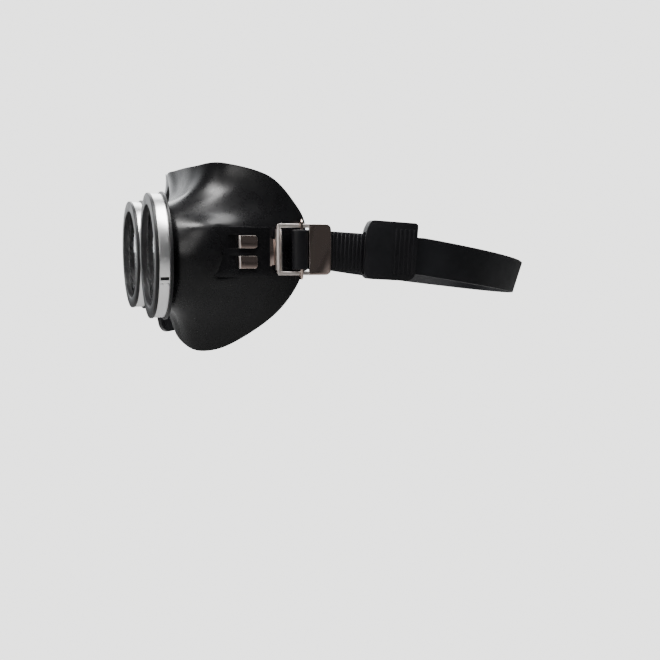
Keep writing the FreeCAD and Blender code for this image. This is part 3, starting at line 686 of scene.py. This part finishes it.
class GOGGLES_OT_bands(bpy.types.Operator):
    """Builds the bright clamp bands, each with its slot and two rivets under the temple"""
    bl_idname = "goggles.bands"
    bl_label = "Lens Bands"

    def execute(self, context):
        eye = context.scene.goggles_eye
        inner, outer = eye.seat + 0.04 * MM, eye.seat + eye.band_wall
        start, end = eye.rim_depth + 0.06 * MM, eye.rim_depth + eye.band_width
        slot_low, slot_high = start + 0.5 * MM, end - 0.5 * MM
        steps = 240
        profile = (
            (inner, start), (outer, start), (outer + 0.05 * MM, slot_low),
            (outer + 0.05 * MM, slot_high), (outer, end), (inner, end), (inner, slot_high),
            (inner, slot_low),
        )
        seam = math.radians(-19.5)
        for word, side in SIDES:
            bm = bmesh.new()
            spun(bm, profile, steps)
            self.pierce(bm, seam, math.tau / steps, slot_low, slot_high)
            soften(bm, sharp_edges(bm), 0.12 * MM, 2)
            bmesh.ops.transform(bm, matrix=lens_matrix(), verts=bm.verts)
            piece(f"{word}_band", bm, side, "Band Aluminium", "mask_body", f"{word}_lens_band")
            for end_word, depth in (("front", -1.25 * MM), ("rear", 1.25 * MM)):
                self.rivet(word, side, end_word, outer, (start + end) / 2 + depth)
        return {"FINISHED"}

    def pierce(self, bm, angle, step, low, high):
        """Opens a slot through the band across one step of its circle."""
        gone = []
        for face in bm.faces:
            middle = face.calc_center_median()
            turn = math.atan2(middle.z, middle.x)
            across = abs(face.normal.y) < 0.5
            if across and low < middle.y < high and abs(turn - angle) < step * 0.6:
                gone.append(face)
        bmesh.ops.delete(bm, geom=gone, context="FACES_ONLY")
        edges = [e for e in bm.edges if len(e.link_faces) == 1]
        bmesh.ops.bridge_loops(bm, edges=edges)
        bmesh.ops.recalc_face_normals(bm, faces=bm.faces)

    def rivet(self, word, side, end_word, radius, depth):
        bm = bmesh.new()
        bmesh.ops.create_uvsphere(bm, u_segments=24, v_segments=12, radius=0.85 * MM)
        bmesh.ops.scale(bm, vec=(1, 1, 0.42), verts=bm.verts)
        turn = math.radians(25)
        away = Vector((math.cos(turn), 0, -math.sin(turn)))
        ahead = Vector((0, 1, 0))
        place = axes(away * radius + ahead * depth, ahead, away)
        bmesh.ops.transform(bm, matrix=lens_matrix() @ place, verts=bm.verts)
        piece(f"{word}_{end_word}_rivet_head", bm, side, "Band Aluminium", "mask_body",
              f"{word}_{end_word}_rivet")


# ------------------------------------------------------------------ temple hardware
class GOGGLES_OT_clips(bpy.types.Operator):
    """Builds the nickel clips: a plate in the lug, two folded tangs and the hinge knuckle"""
    bl_idname = "goggles.clips"
    bl_label = "Strap Clips"

    def execute(self, context):
        hardware = context.scene.goggles_hardware
        inner = -hardware.knuckle
        outer = inner + hardware.sheet
        middle, face = -hardware.drop, hardware.face + 0.1 * MM
        fold = -hardware.tang_front
        front, back, broad = -22.5 * MM, -3.2 * MM, 6.5 * MM
        link_front, link_back, narrow = -3.5 * MM, -1.1 * MM, 6 * MM
        floor, link = inner + 0.05 * MM, inner + 0.3 * MM
        half = hardware.knuckle_length / 2
        for word, side in SIDES:
            bm = bmesh.new()
            box_between(bm, (front, middle - broad, inner), (back, middle + broad, outer))
            box_between(bm, (link_front, middle - narrow, floor), (link_back, middle + narrow, link))
            for turn in (-1, 1):
                centre = middle + turn * hardware.tang_pitch / 2
                self.tang(bm, centre, fold, inner, face)
            soften(bm, sharp_edges(bm), 0.14 * MM, 2)
            self.roll(bm, hardware.pin + 0.05 * MM, hardware.knuckle, half)
            # The knuckle takes the paler nickel: rubbed wear together with a painted highlight on the
            # rolled end.
            for patch in bm.faces:
                at = patch.calc_center_median()
                if at.x > -1.65 * MM and at.length < 11 * MM:
                    patch.material_index = RUBBED_AND_HIGHLIT
            bmesh.ops.transform(bm, matrix=TEMPLE, verts=bm.verts)
            piece(f"{word}_clip", bm, side, "Clip Nickel", "mask_body", f"{word}_strap_clip",
                  "Worn Nickel With Painted Highlight")
        return {"FINISHED"}

    def roll(self, bm, bore, radius, half):
        """The sheet rolled round the bar, with its free edge showing outside."""
        outline = ((bore, -half), (radius, -half), (radius, half), (bore, half))
        corners = [bm.verts.new((x, y, 0)) for x, y in outline]
        start = bm.faces.new(corners)
        free_edge = Matrix.Rotation(math.radians(-62), 4, "Y")
        bmesh.ops.transform(bm, matrix=free_edge, verts=corners)
        parts = [start, *start.edges, *start.verts]
        made = bmesh.ops.spin(
            bm, geom=parts, axis=(0, -1, 0), cent=(0, 0, 0), angle=math.radians(-342), steps=36,
        )["geom_last"]
        rolled = {start, *only(made, BMFace)}
        around = {e for f in rolled if f.is_valid for e in f.edges}
        edges = [e for e in around if e.calc_face_angle(0) > 1]
        bmesh.ops.recalc_face_normals(bm, faces=bm.faces)
        soften(bm, edges, 0.12 * MM, 2)

    def tang(self, bm, centre, fold, inner, face):
        """One tang: up through the rubber and folded back over it, rounded at its free end."""
        hardware = bpy.context.scene.goggles_hardware
        sheet, tip = hardware.sheet, fold + hardware.tang_length
        outline = (
            (fold, inner), (fold + sheet, inner), (fold + sheet, face), (tip, face),
            (tip, face + sheet), (fold, face + sheet),
        )
        low, high = centre - hardware.tang_width / 2, centre + hardware.tang_width / 2
        corners = [bm.verts.new((x, low, z)) for x, z in outline]
        side_face = bm.faces.new(corners)
        made = bmesh.ops.extrude_face_region(bm, geom=[side_face])["geom"]
        bmesh.ops.translate(bm, vec=(0, high - low, 0), verts=only(made, BMVert))
        bmesh.ops.recalc_face_normals(bm, faces=bm.faces)
        bend = [
            e for e in bm.edges
            if all(abs(v.co.x - fold) < HAIR and abs(v.co.z - face - sheet) < HAIR for v in e.verts)
        ]
        soften(bm, bend, 1.1 * MM, 6)
        tips = upright_edges(bm, lambda at: abs(at.x - tip) < HAIR and low - HAIR < at.y < high + HAIR)
        soften(bm, tips, 1.4 * MM, 5)
        rim = [
            e for e in sharp_edges(bm)
            if all(v.co.z > face + sheet - 1e-6 and low - 1e-6 < v.co.y < high + 1e-6 for v in e.verts)
        ]
        # The bevelled rim and the upward-facing bend take the paler nickel: rubbed wear together with a
        # painted highlight along these edges.
        rubbed_and_highlit_faces = set(soften(bm, rim, 0.36 * MM, 3)["faces"])
        for patch in bm.faces:
            at = patch.calc_center_median()
            if at.x < fold + 1.1 * MM and low < at.y < high and at.z > face:
                if 0.1 < patch.normal.z < 0.97:
                    rubbed_and_highlit_faces.add(patch)
        for patch in rubbed_and_highlit_faces:
            patch.material_index = RUBBED_AND_HIGHLIT


class GOGGLES_OT_buckles(bpy.types.Operator):
    """Builds the hinged buckle frames: a round front bar, two rails and a broad rear plate"""
    bl_idname = "goggles.buckles"
    bl_label = "Buckles"

    def execute(self, context):
        hardware = context.scene.goggles_hardware
        half, hole = hardware.frame_width / 2, hardware.frame_width / 2 - hardware.rail
        rear, window = hardware.window + hardware.plate, hardware.window
        front = -hardware.pin
        wall = hardware.frame_wall / 2
        for word, side in SIDES:
            bm = bmesh.new()
            outline = (
                (front, -half), (rear, -half), (rear, half), (front, half), (front, hole),
                (window, hole), (window, -hole), (front, -hole),
            )
            plate(bm, outline, -wall, wall)
            soften(bm, upright_edges(bm, lambda at: abs(at.x - rear) < HAIR), 2.6 * MM, 7)
            soften(bm, upright_edges(bm, lambda at: at.x < 0 and abs(at.y) > half - HAIR), 1.6 * MM, 5)
            soften(bm, sharp_edges(bm), 0.32 * MM, 3)
            pin = hardware.pin
            spun(bm, ((0.1 * MM, -hole - 0.5 * MM), (pin, -hole - 0.5 * MM), (pin, hole + 0.5 * MM),
                      (0.1 * MM, hole + 0.5 * MM)), 24)
            cut(bm, (window, 0, 0), (1, 0, 0))
            # The front bar, the rails and every edge face take the paler nickel: rubbed wear together
            # with a painted highlight; the flat rear plate keeps the darker nickel.
            for patch in bm.faces:
                if patch.calc_center_median().x < window or abs(patch.normal.z) < 0.95:
                    patch.material_index = RUBBED_AND_HIGHLIT
            bmesh.ops.transform(bm, matrix=TEMPLE, verts=bm.verts)
            piece(f"{word}_buckle_frame", bm, side, "Buckle Nickel", f"{word}_buckle_body",
                  f"{word}_buckle", "Worn Nickel With Painted Highlight")
        return {"FINISHED"}


class GOGGLES_OT_slide_bars(bpy.types.Operator):
    """Builds the wire slide bars, hooked round and under the rails"""
    bl_idname = "goggles.slide_bars"
    bl_label = "Slide Bars"

    def execute(self, context):
        hardware = context.scene.goggles_hardware
        along = hardware.window - hardware.wire_gap
        out = hardware.frame_wall / 2 + 0.12 * MM + hardware.wire
        leg, end = hardware.frame_width / 2 + 1.4 * MM, hardware.frame_width / 2 - 1.0 * MM
        bend = 0.8 * MM
        half_path = (
            (leg - bend, out), (leg, out - bend), (leg, -out + bend), (leg - bend, -out), (end, -out),
        )
        path = [(-y, z) for y, z in reversed(half_path)] + list(half_path)
        for word, side in SIDES:
            bm = bmesh.new()
            ring = bmesh.ops.create_circle(bm, segments=14, radius=hardware.wire, cap_ends=True)["verts"]
            self.follow(bm, ring, [Vector((along, y, z)) for y, z in path])
            bmesh.ops.recalc_face_normals(bm, faces=bm.faces)
            bmesh.ops.transform(bm, matrix=TEMPLE, verts=bm.verts)
            wire = piece(f"{word}_wire", bm, side, "Buckle Nickel", f"{word}_slider_body",
                         f"{word}_slide_bar")
            wire.data.shade_smooth()
        return {"FINISHED"}

    def follow(self, bm, ring, points):
        """Extrudes a ring through points, turning it to face half way round each corner."""
        face = ring[0].link_faces[0]
        runs = [(b - a).normalized() for a, b in zip(points, points[1:])]
        facing, place = Vector((0, 0, 1)), Vector((0, 0, 0))
        for k, point in enumerate(points):
            before, after = runs[max(k - 1, 0)], runs[min(k, len(runs) - 1)]
            aim = (before + after).normalized()
            if k:
                face = bmesh.ops.extrude_discrete_faces(bm, faces=[face])["faces"][0]
            turn = facing.rotation_difference(aim).to_matrix()
            bmesh.ops.rotate(bm, cent=place, matrix=turn, verts=face.verts)
            bmesh.ops.translate(bm, vec=point - place, verts=face.verts)
            facing, place = aim, point


# ------------------------------------------------------------------ strap
def strap_matrix():
    """Where the strap leaves the buckle, falling towards the back."""
    hardware, strap = bpy.context.scene.goggles_hardware, bpy.context.scene.goggles_strap
    start = hardware.window + 4 * strap.gap
    return axes(HINGE + STRAP_AHEAD * start, STRAP_FALLING, OUTWARD)


def strap_levels():
    """Outer and inner faces of the doubled strap, outward of the hinge axis."""
    hardware, strap = bpy.context.scene.goggles_hardware, bpy.context.scene.goggles_strap
    outer = -(hardware.frame_wall / 2 + strap.gap)
    return outer, outer - 2 * strap.wall


class GOGGLES_OT_leads(bpy.types.Operator):
    """Builds the doubled strap behind each buckle, with its ribbed free end outside"""
    bl_idname = "goggles.leads"
    bl_label = "Strap Leads"

    def execute(self, context):
        strap = context.scene.goggles_strap
        outer, inner = strap_levels()
        half, parting = strap.width / 2, outer - strap.wall
        base = outer - 0.45 * MM
        for word, side in SIDES:
            bm = bmesh.new()
            box_between(bm, (0, -half, inner), (strap.lead, half, parting - 0.04 * MM))
            box_between(bm, (0, -half, parting + 0.04 * MM), (strap.lead - 6 * MM, half, base))
            soften(bm, sharp_edges(bm), 0.2 * MM, 2)
            cells = 22
            for k in range(1, cells):
                cut(bm, (strap.lead * k / cells, 0, 0), (1, 0, 0))
            count = int((strap.lead - 6 * MM) / strap.rib)
            for k in range(count):
                x = 0.5 * MM + strap.rib * k
                rib = box_between(
                    bm, (x, -half + 0.5 * MM, base - 0.1 * MM), (x + 1.15 * MM, half - 0.5 * MM, outer)
                )
                edges = {e for v in rib for e in v.link_edges if min(p.co.z for p in e.verts) > base}
                soften(bm, edges, 0.28 * MM, 2)
            bmesh.ops.transform(bm, matrix=strap_matrix(), verts=bm.verts)
            lead = piece(f"{word}_lead", bm, side, "Strap Rubber", None, f"{word}_strap_lead")
            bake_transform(lead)
        return {"FINISHED"}


class GOGGLES_OT_folds(bpy.types.Operator):
    """Builds the strap's loop round each slide bar"""
    bl_idname = "goggles.folds"
    bl_label = "Strap Folds"

    def execute(self, context):
        hardware, strap = context.scene.goggles_hardware, context.scene.goggles_strap
        window = hardware.window
        wire = window - hardware.wire_gap
        height = hardware.frame_wall / 2 + 0.12 * MM + 2 * hardware.wire + strap.wall / 2
        outer, inner = strap_levels()
        low, high = inner + strap.wall / 2, outer - strap.wall / 2
        route = (
            (window + 1.2 * MM, low), (window - 1.4 * MM, low + 0.05 * MM),
            (wire - 0.6 * MM, low + 1.0 * MM), (wire - 3.3 * MM, -0.6 * MM),
            (wire - 4.3 * MM, 0.9 * MM), (wire - 3.6 * MM, 2.3 * MM), (wire - 1.6 * MM, 2.85 * MM),
            (wire, height), (wire + 1.4 * MM, 2.6 * MM), (wire + 2.55 * MM, 1.2 * MM),
            (wire + 2.95 * MM, -0.5 * MM), (window - 0.3 * MM, high + 0.1 * MM),
            (window + 1.2 * MM, high),
        )
        half = strap.width / 2
        for word, side in SIDES:
            bm = bmesh.new()
            line = [bm.verts.new((x, -half, z)) for x, z in route]
            edges = [bm.edges.new(pair) for pair in zip(line, line[1:])]
            made = bmesh.ops.extrude_edge_only(bm, edges=edges)["geom"]
            raised = only(made, BMVert)
            bmesh.ops.translate(bm, vec=(0, strap.width, 0), verts=raised)
            for y in (-half + 0.7 * MM, 0, half - 0.7 * MM):
                cut(bm, (0, y, 0), (0, 1, 0))
            bmesh.ops.transform(bm, matrix=TEMPLE, verts=bm.verts)
            fold = piece(f"{word}_fold", bm, side, "Strap Rubber", None, f"{word}_strap_fold")
            wall = fold.modifiers.new("wall", "SOLIDIFY")
            wall.thickness, wall.offset = strap.wall - 0.1 * MM, 0
            smooth = fold.modifiers.new("smooth", "SUBSURF")
            smooth.levels = smooth.render_levels = 2
            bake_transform(fold)
        return {"FINISHED"}


STRAP_BACK = Vector((0, 0.211, -0.015))
STRAP_START_PULL = 0.045
STRAP_BACK_PULL = 0.050
STRAP_FALL = 0.165
STRAP_LEAN = 16.0
STRAP_RUN_ON = 0.0045


def strap_stations(steps):
    """Middle, upright and running directions along the left half of the strap."""
    scene = bpy.context.scene
    strap, hardware = scene.goggles_strap, scene.goggles_hardware
    place = strap_matrix()
    depth = strap_levels()[1] + strap.wall / 2
    up = (place.to_3x3() @ Vector((0, 1, 0))).normalized()
    start = hardware.window + 4 * strap.gap
    leave = strap.keeper_start + strap.keeper_length - start + STRAP_RUN_ON
    begin, turn = (place @ Vector((x, 0, depth)) for x in (strap.lead, leave))
    level = Vector((STRAP_FALLING.x, STRAP_FALLING.y, 0)).normalized()
    pull = turn + (level - Vector((0, 0, STRAP_FALL))) * STRAP_START_PULL
    cross = STRAP_BACK + Vector((STRAP_BACK_PULL, 0, 0))
    rows = [(begin, up, STRAP_FALLING), (begin.lerp(turn, 0.5), up, STRAP_FALLING)]
    for k in range(steps + 1):
        t = k / steps
        point = (
            turn * (1 - t) ** 3 + pull * (3 * t * (1 - t) ** 2)
            + cross * (3 * t * t * (1 - t)) + STRAP_BACK * t**3
        )
        run = (
            (pull - turn) * (1 - t) ** 2 + (cross - pull) * (2 * t * (1 - t))
            + (STRAP_BACK - cross) * t**2
        ).normalized()
        lean = math.radians(STRAP_LEAN) * min(1.0, t / 0.7)
        side_out = Vector((run.y, -run.x, 0)).normalized()
        upright = Vector((0, 0, 1)) * math.cos(lean) + side_out * math.sin(lean)
        rows.append((point, (upright - run * upright.dot(run)).normalized(), run))
    return rows


class GOGGLES_OT_head_strap(bpy.types.Operator):
    """Builds the single strap from keeper to keeper round the back of the head"""
    bl_idname = "goggles.head_strap"
    bl_label = "Head Strap"

    def execute(self, context):
        strap = context.scene.goggles_strap
        half, wall, soft = strap.width / 2, strap.wall / 2, 0.3 * MM
        section = (
            (-half, 0), (-half + soft, wall), (half - soft, wall), (half, 0),
            (half - soft, -wall), (-half + soft, -wall),
        )
        bm = bmesh.new()
        up_layer = bm.verts.layers.float.new("up")
        out_layer = bm.verts.layers.float.new("out")
        ring = [bm.verts.new((0, a, b)) for a, b in section]
        for vert, (a, b) in zip(ring, section):
            vert[up_layer], vert[out_layer] = a, b
        edges = [bm.edges.new((ring[k], ring[(k + 1) % len(ring)])) for k in range(len(ring))]
        rows = strap_stations(40)
        for k, (point, upright, run) in enumerate(rows):
            out = run.cross(upright).normalized()
            moved = ring
            if k:
                made = bmesh.ops.extrude_edge_only(bm, edges=edges)["geom"]
                moved = only(made, BMVert)
                edges = [e for e in only(made, BMEdge) if len(e.link_faces) == 1]
            for vert in moved:
                vert.co = point + upright * vert[up_layer] + out * vert[out_layer]
        double(bm, 0.05 * MM)
        bmesh.ops.holes_fill(bm, edges=[e for e in bm.edges if len(e.link_faces) == 1], sides=8)
        bmesh.ops.recalc_face_normals(bm, faces=bm.faces)
        piece("strap_round_head", bm, 1, "Strap Rubber", "mask_body", "head_strap")
        return {"FINISHED"}


class GOGGLES_OT_keepers(bpy.types.Operator):
    """Builds the rubber sleeves that hold the strap's free ends, ribbed over their rear half"""
    bl_idname = "goggles.keepers"
    bl_label = "Keepers"

    def execute(self, context):
        hardware, strap = context.scene.goggles_hardware, context.scene.goggles_strap
        start = strap.keeper_start - (hardware.window + 4 * strap.gap)
        end = start + strap.keeper_length
        outer, inner = strap_levels()
        fit, wall = strap.keeper_fit, strap.keeper_wall
        room = strap.width / 2 + 2 * fit
        low, high = -room - strap.keeper_bottom, room + strap.keeper_top
        bottom, top = inner - fit - wall, outer + fit + wall
        for word, side in SIDES:
            bm = bmesh.new()
            outline = (
                (start + 1.6 * MM, low), (end - 3.4 * MM, low), (end, low + 2.2 * MM), (end, high),
                (start + 2.2 * MM, high), (start, high - 5.0 * MM), (start, low + 3.6 * MM),
            )
            plate(bm, outline, bottom, top)
            soften(bm, upright_edges(bm), 1.7 * MM, 5)
            for y in (-room, room):
                cut(bm, (0, y, 0), (0, 1, 0))
            for z in (inner - fit, outer + fit):
                cut(bm, (0, 0, z), (0, 0, 1))
            self.open_slot(bm, room, inner - fit, outer + fit)
            soften(bm, sharp_edges(bm), 0.5 * MM, 3)
            self.ribs(bm, end, room, top)
            bmesh.ops.transform(bm, matrix=strap_matrix(), verts=bm.verts)
            piece(f"{word}_sleeve", bm, side, "Keeper Rubber", f"{word}_keeper_body",
                  f"{word}_keeper")
        return {"FINISHED"}

    def open_slot(self, bm, room, low, high):
        """Takes out the end faces inside the slot and joins the two holes with its walls."""
        gone = []
        for face in bm.faces:
            at = face.calc_center_median()
            if abs(face.normal.x) > 0.9 and abs(at.y) < room and low < at.z < high:
                gone.append(face)
        bmesh.ops.delete(bm, geom=gone, context="FACES")
        bmesh.ops.bridge_loops(bm, edges=[e for e in bm.edges if len(e.link_faces) == 1])
        bmesh.ops.recalc_face_normals(bm, faces=bm.faces)

    def ribs(self, bm, end, room, top):
        pitch, count = 2.3 * MM, 5
        for k in range(count):
            x = end - 2.0 * MM - pitch * k
            rib = box_between(
                bm, (x - 0.55 * MM, -room + 0.5 * MM, top - 0.4 * MM),
                (x + 0.55 * MM, room + 2.6 * MM, top + 0.32 * MM),
            )
            edges = {e for v in rib for e in v.link_edges if max(p.co.z for p in e.verts) > top}
            soften(bm, edges, 0.3 * MM, 2)


# ------------------------------------------------------------------ finishes
class GOGGLES_OT_finishes(bpy.types.Operator):
    """Makes the rubber, metal and glass materials"""
    bl_idname = "goggles.finishes"
    bl_label = "Finishes"

    def execute(self, context):
        scene = context.scene
        rubber_skin_group()
        metal_wear_group()
        mask, strap = scene.goggles_mask.colour, scene.goggles_strap.colour
        grey = (0.022, 0.022, 0.024)
        make_rubber("Mask Rubber", mask, grey, 0.27, 0.06, 0.35)
        make_rubber("Cup Rubber", (0.010, 0.010, 0.011), (0.05, 0.05, 0.05), 0.38, 0.08, 0.5)
        make_rubber("Lug Rubber", mask, grey, 0.22, 0.06, 0.5)
        make_rubber("Strap Rubber", strap, (0.020, 0.021, 0.024), 0.40, 0.10, 0.4)
        make_rubber("Keeper Rubber", strap, (0.018, 0.018, 0.020), 0.44, 0.16, 0.4)
        band, nickel = scene.goggles_eye.metal, scene.goggles_hardware.metal
        make_metal("Band Aluminium", band, (0.80, 0.77, 0.76), 0.30, 0.10)
        make_metal("Clip Nickel", nickel, (0.40, 0.33, 0.30), 0.07, 0.04)
        make_metal("Buckle Nickel", nickel, (0.42, 0.36, 0.33), 0.08, 0.05)
        # Paler, rougher nickel: rubbed wear together with a painted highlight on edges, bends, knuckles
        # and rails.
        make_metal("Worn Nickel With Painted Highlight", (0.82, 0.75, 0.71), (0.60, 0.52, 0.48), 0.36, 0.05)
        make_glass()
        return {"FINISHED"}


# ------------------------------------------------------------------ stage
ROOM_LIGHT = 2.7


def in_sight(tree, mirrored, seen, sink):
    """Shows one shader to the camera, straight or through glass, and the other to what mirrors it."""
    rays = tree.nodes.new("ShaderNodeLightPath").outputs
    looked_at = maths(tree, "MAXIMUM", rays["Is Camera Ray"], rays["Is Transmission Ray"])
    either = tree.nodes.new("ShaderNodeMixShader")
    for value, socket in zip((looked_at, mirrored, seen), either.inputs):
        tree.links.new(value, socket)
    tree.links.new(either.outputs["Shader"], sink)


class GOGGLES_OT_stage(bpy.types.Operator):
    """Sets the pale floor, soft lights and the camera"""
    bl_idname = "goggles.stage"
    bl_label = "Stage"

    def execute(self, context):
        stage = context.scene.goggles_stage
        bm = bmesh.new()
        bmesh.ops.create_grid(bm, x_segments=8, y_segments=8, size=40)
        bmesh.ops.translate(bm, vec=(0, 0, stage.floor), verts=bm.verts)
        self.pale_floor()
        piece("floor", bm, 1, "Pale Floor", None)
        self.light("key", (0.25, -0.45, 0.85), (0, 0.03, 0), 0.35, 12, (1, 0.99, 0.98))
        self.light("top", (0.2, 0.3, 1.0), (0, 0.08, 0), 0.8, 22, (1, 1, 1))
        self.light("front", (0.9, -0.75, 0.35), (0, 0.05, 0), 0.5, 3, (1, 0.98, 0.96))
        self.light("low", (0.85, -0.45, -0.42), (0.06, 0, -0.02), 0.45, 2.5, (1, 0.99, 0.98))
        self.light("far", (-0.9, 0.1, 0.7), (0, 0.05, 0), 0.6, 5, (0.98, 0.99, 1))
        self.world(context)
        self.camera(context, stage)
        return {"FINISHED"}

    def pale_floor(self):
        """Evenly pale to look at, and dim in the surfaces that mirror it."""
        tree, shader = principled("Pale Floor")
        shader.inputs["Base Color"].default_value = (0.30, 0.30, 0.30, 1)
        shader.inputs["Roughness"].default_value = 0.8
        glow = tree.nodes.new("ShaderNodeEmission")
        glow.inputs["Color"].default_value = (0.97, 0.97, 0.96, 1)
        glow.inputs["Strength"].default_value = ROOM_LIGHT
        sink = tree.nodes["Material Output"].inputs["Surface"]
        in_sight(tree, shader.outputs["BSDF"], glow.outputs["Emission"], sink)

    def world(self, context):
        """A bright room to look at, and for the surfaces a dim one with a pale wall at the far side."""
        world = bpy.data.worlds.new("studio")
        context.scene.world = world
        world.use_nodes = True
        tree = world.node_tree
        seen = tree.nodes["Background"]
        seen.inputs["Color"].default_value = (0.97, 0.97, 0.96, 1)
        seen.inputs["Strength"].default_value = ROOM_LIGHT
        place = tree.nodes.new("ShaderNodeTexCoord")
        towards = tree.nodes.new("ShaderNodeVectorMath")
        towards.operation = "DOT_PRODUCT"
        towards.inputs[1].default_value = (-0.97, -0.24, 0.0)
        tree.links.new(place.outputs["Generated"], towards.inputs[0])
        strength = spread(tree, towards.outputs["Value"], 0.76, 0.95, 0.08, 2.4)
        felt = tree.nodes.new("ShaderNodeBackground")
        felt.inputs["Color"].default_value = (0.96, 0.98, 1, 1)
        tree.links.new(strength, felt.inputs["Strength"])
        sink = tree.nodes["World Output"].inputs["Surface"]
        in_sight(tree, felt.outputs["Background"], seen.outputs["Background"], sink)

    def light(self, name, place, target, size, power, colour):
        data = bpy.data.lights.new(name, "AREA")
        data.shape = "DISK"
        data.size = size
        data.energy = power
        data.color = colour
        lamp = bpy.data.objects.new(name, data)
        aim = (Vector(target) - Vector(place)).to_track_quat("-Z", "Y")
        lamp.location, lamp.rotation_euler = place, aim.to_euler()
        bpy.context.scene.collection.objects.link(lamp)

    def camera(self, context, stage):
        data = bpy.data.cameras.new("camera")
        data.sensor_width = 36
        data.lens = stage.focal
        data.clip_start = 0.01
        camera = bpy.data.objects.new("camera", data)
        heading, pitch = stage.heading, stage.pitch
        ahead = Vector((
            -math.cos(heading) * math.cos(pitch), math.sin(heading) * math.cos(pitch), -math.sin(pitch)
        ))
        camera.location = stage.camera
        camera.rotation_euler = ahead.to_track_quat("-Z", "Y").to_euler()
        context.scene.collection.objects.link(camera)
        context.scene.camera = camera


# ------------------------------------------------------------------ panel and registration
STEPS = (
    GOGGLES_OT_finishes, GOGGLES_OT_skirt, GOGGLES_OT_cups, GOGGLES_OT_lugs, GOGGLES_OT_lenses,
    GOGGLES_OT_bands, GOGGLES_OT_clips, GOGGLES_OT_buckles, GOGGLES_OT_slide_bars,
    GOGGLES_OT_folds, GOGGLES_OT_leads, GOGGLES_OT_head_strap, GOGGLES_OT_keepers,
    GOGGLES_OT_stage,
)


class GOGGLES_PT_pieces(bpy.types.Panel):
    """Lists the pieces in the order they are built"""
    bl_label = "Goggles"
    bl_idname = "GOGGLES_PT_pieces"
    bl_space_type = "VIEW_3D"
    bl_region_type = "UI"
    bl_category = "Goggles"

    def draw(self, context):
        for step in STEPS:
            self.layout.operator(step.bl_idname)


SETTINGS = {
    "goggles_mask": GogglesMaskSettings,
    "goggles_eye": GogglesEyeSettings,
    "goggles_hardware": GogglesHardwareSettings,
    "goggles_strap": GogglesStrapSettings,
    "goggles_stage": GogglesStageSettings,
}
CLASSES = (*SETTINGS.values(), *STEPS, GOGGLES_PT_pieces)


def register():
    for item in CLASSES:
        bpy.utils.register_class(item)
    for name, settings in SETTINGS.items():
        setattr(bpy.types.Scene, name, PointerProperty(type=settings))


def unregister():
    for name in SETTINGS:
        delattr(bpy.types.Scene, name)
    for item in reversed(CLASSES):
        bpy.utils.unregister_class(item)


def main():
    register()
    for step in STEPS:
        group, name = step.bl_idname.split(".")
        getattr(getattr(bpy.ops, group), name)()


if __name__ == "__main__":
    main()
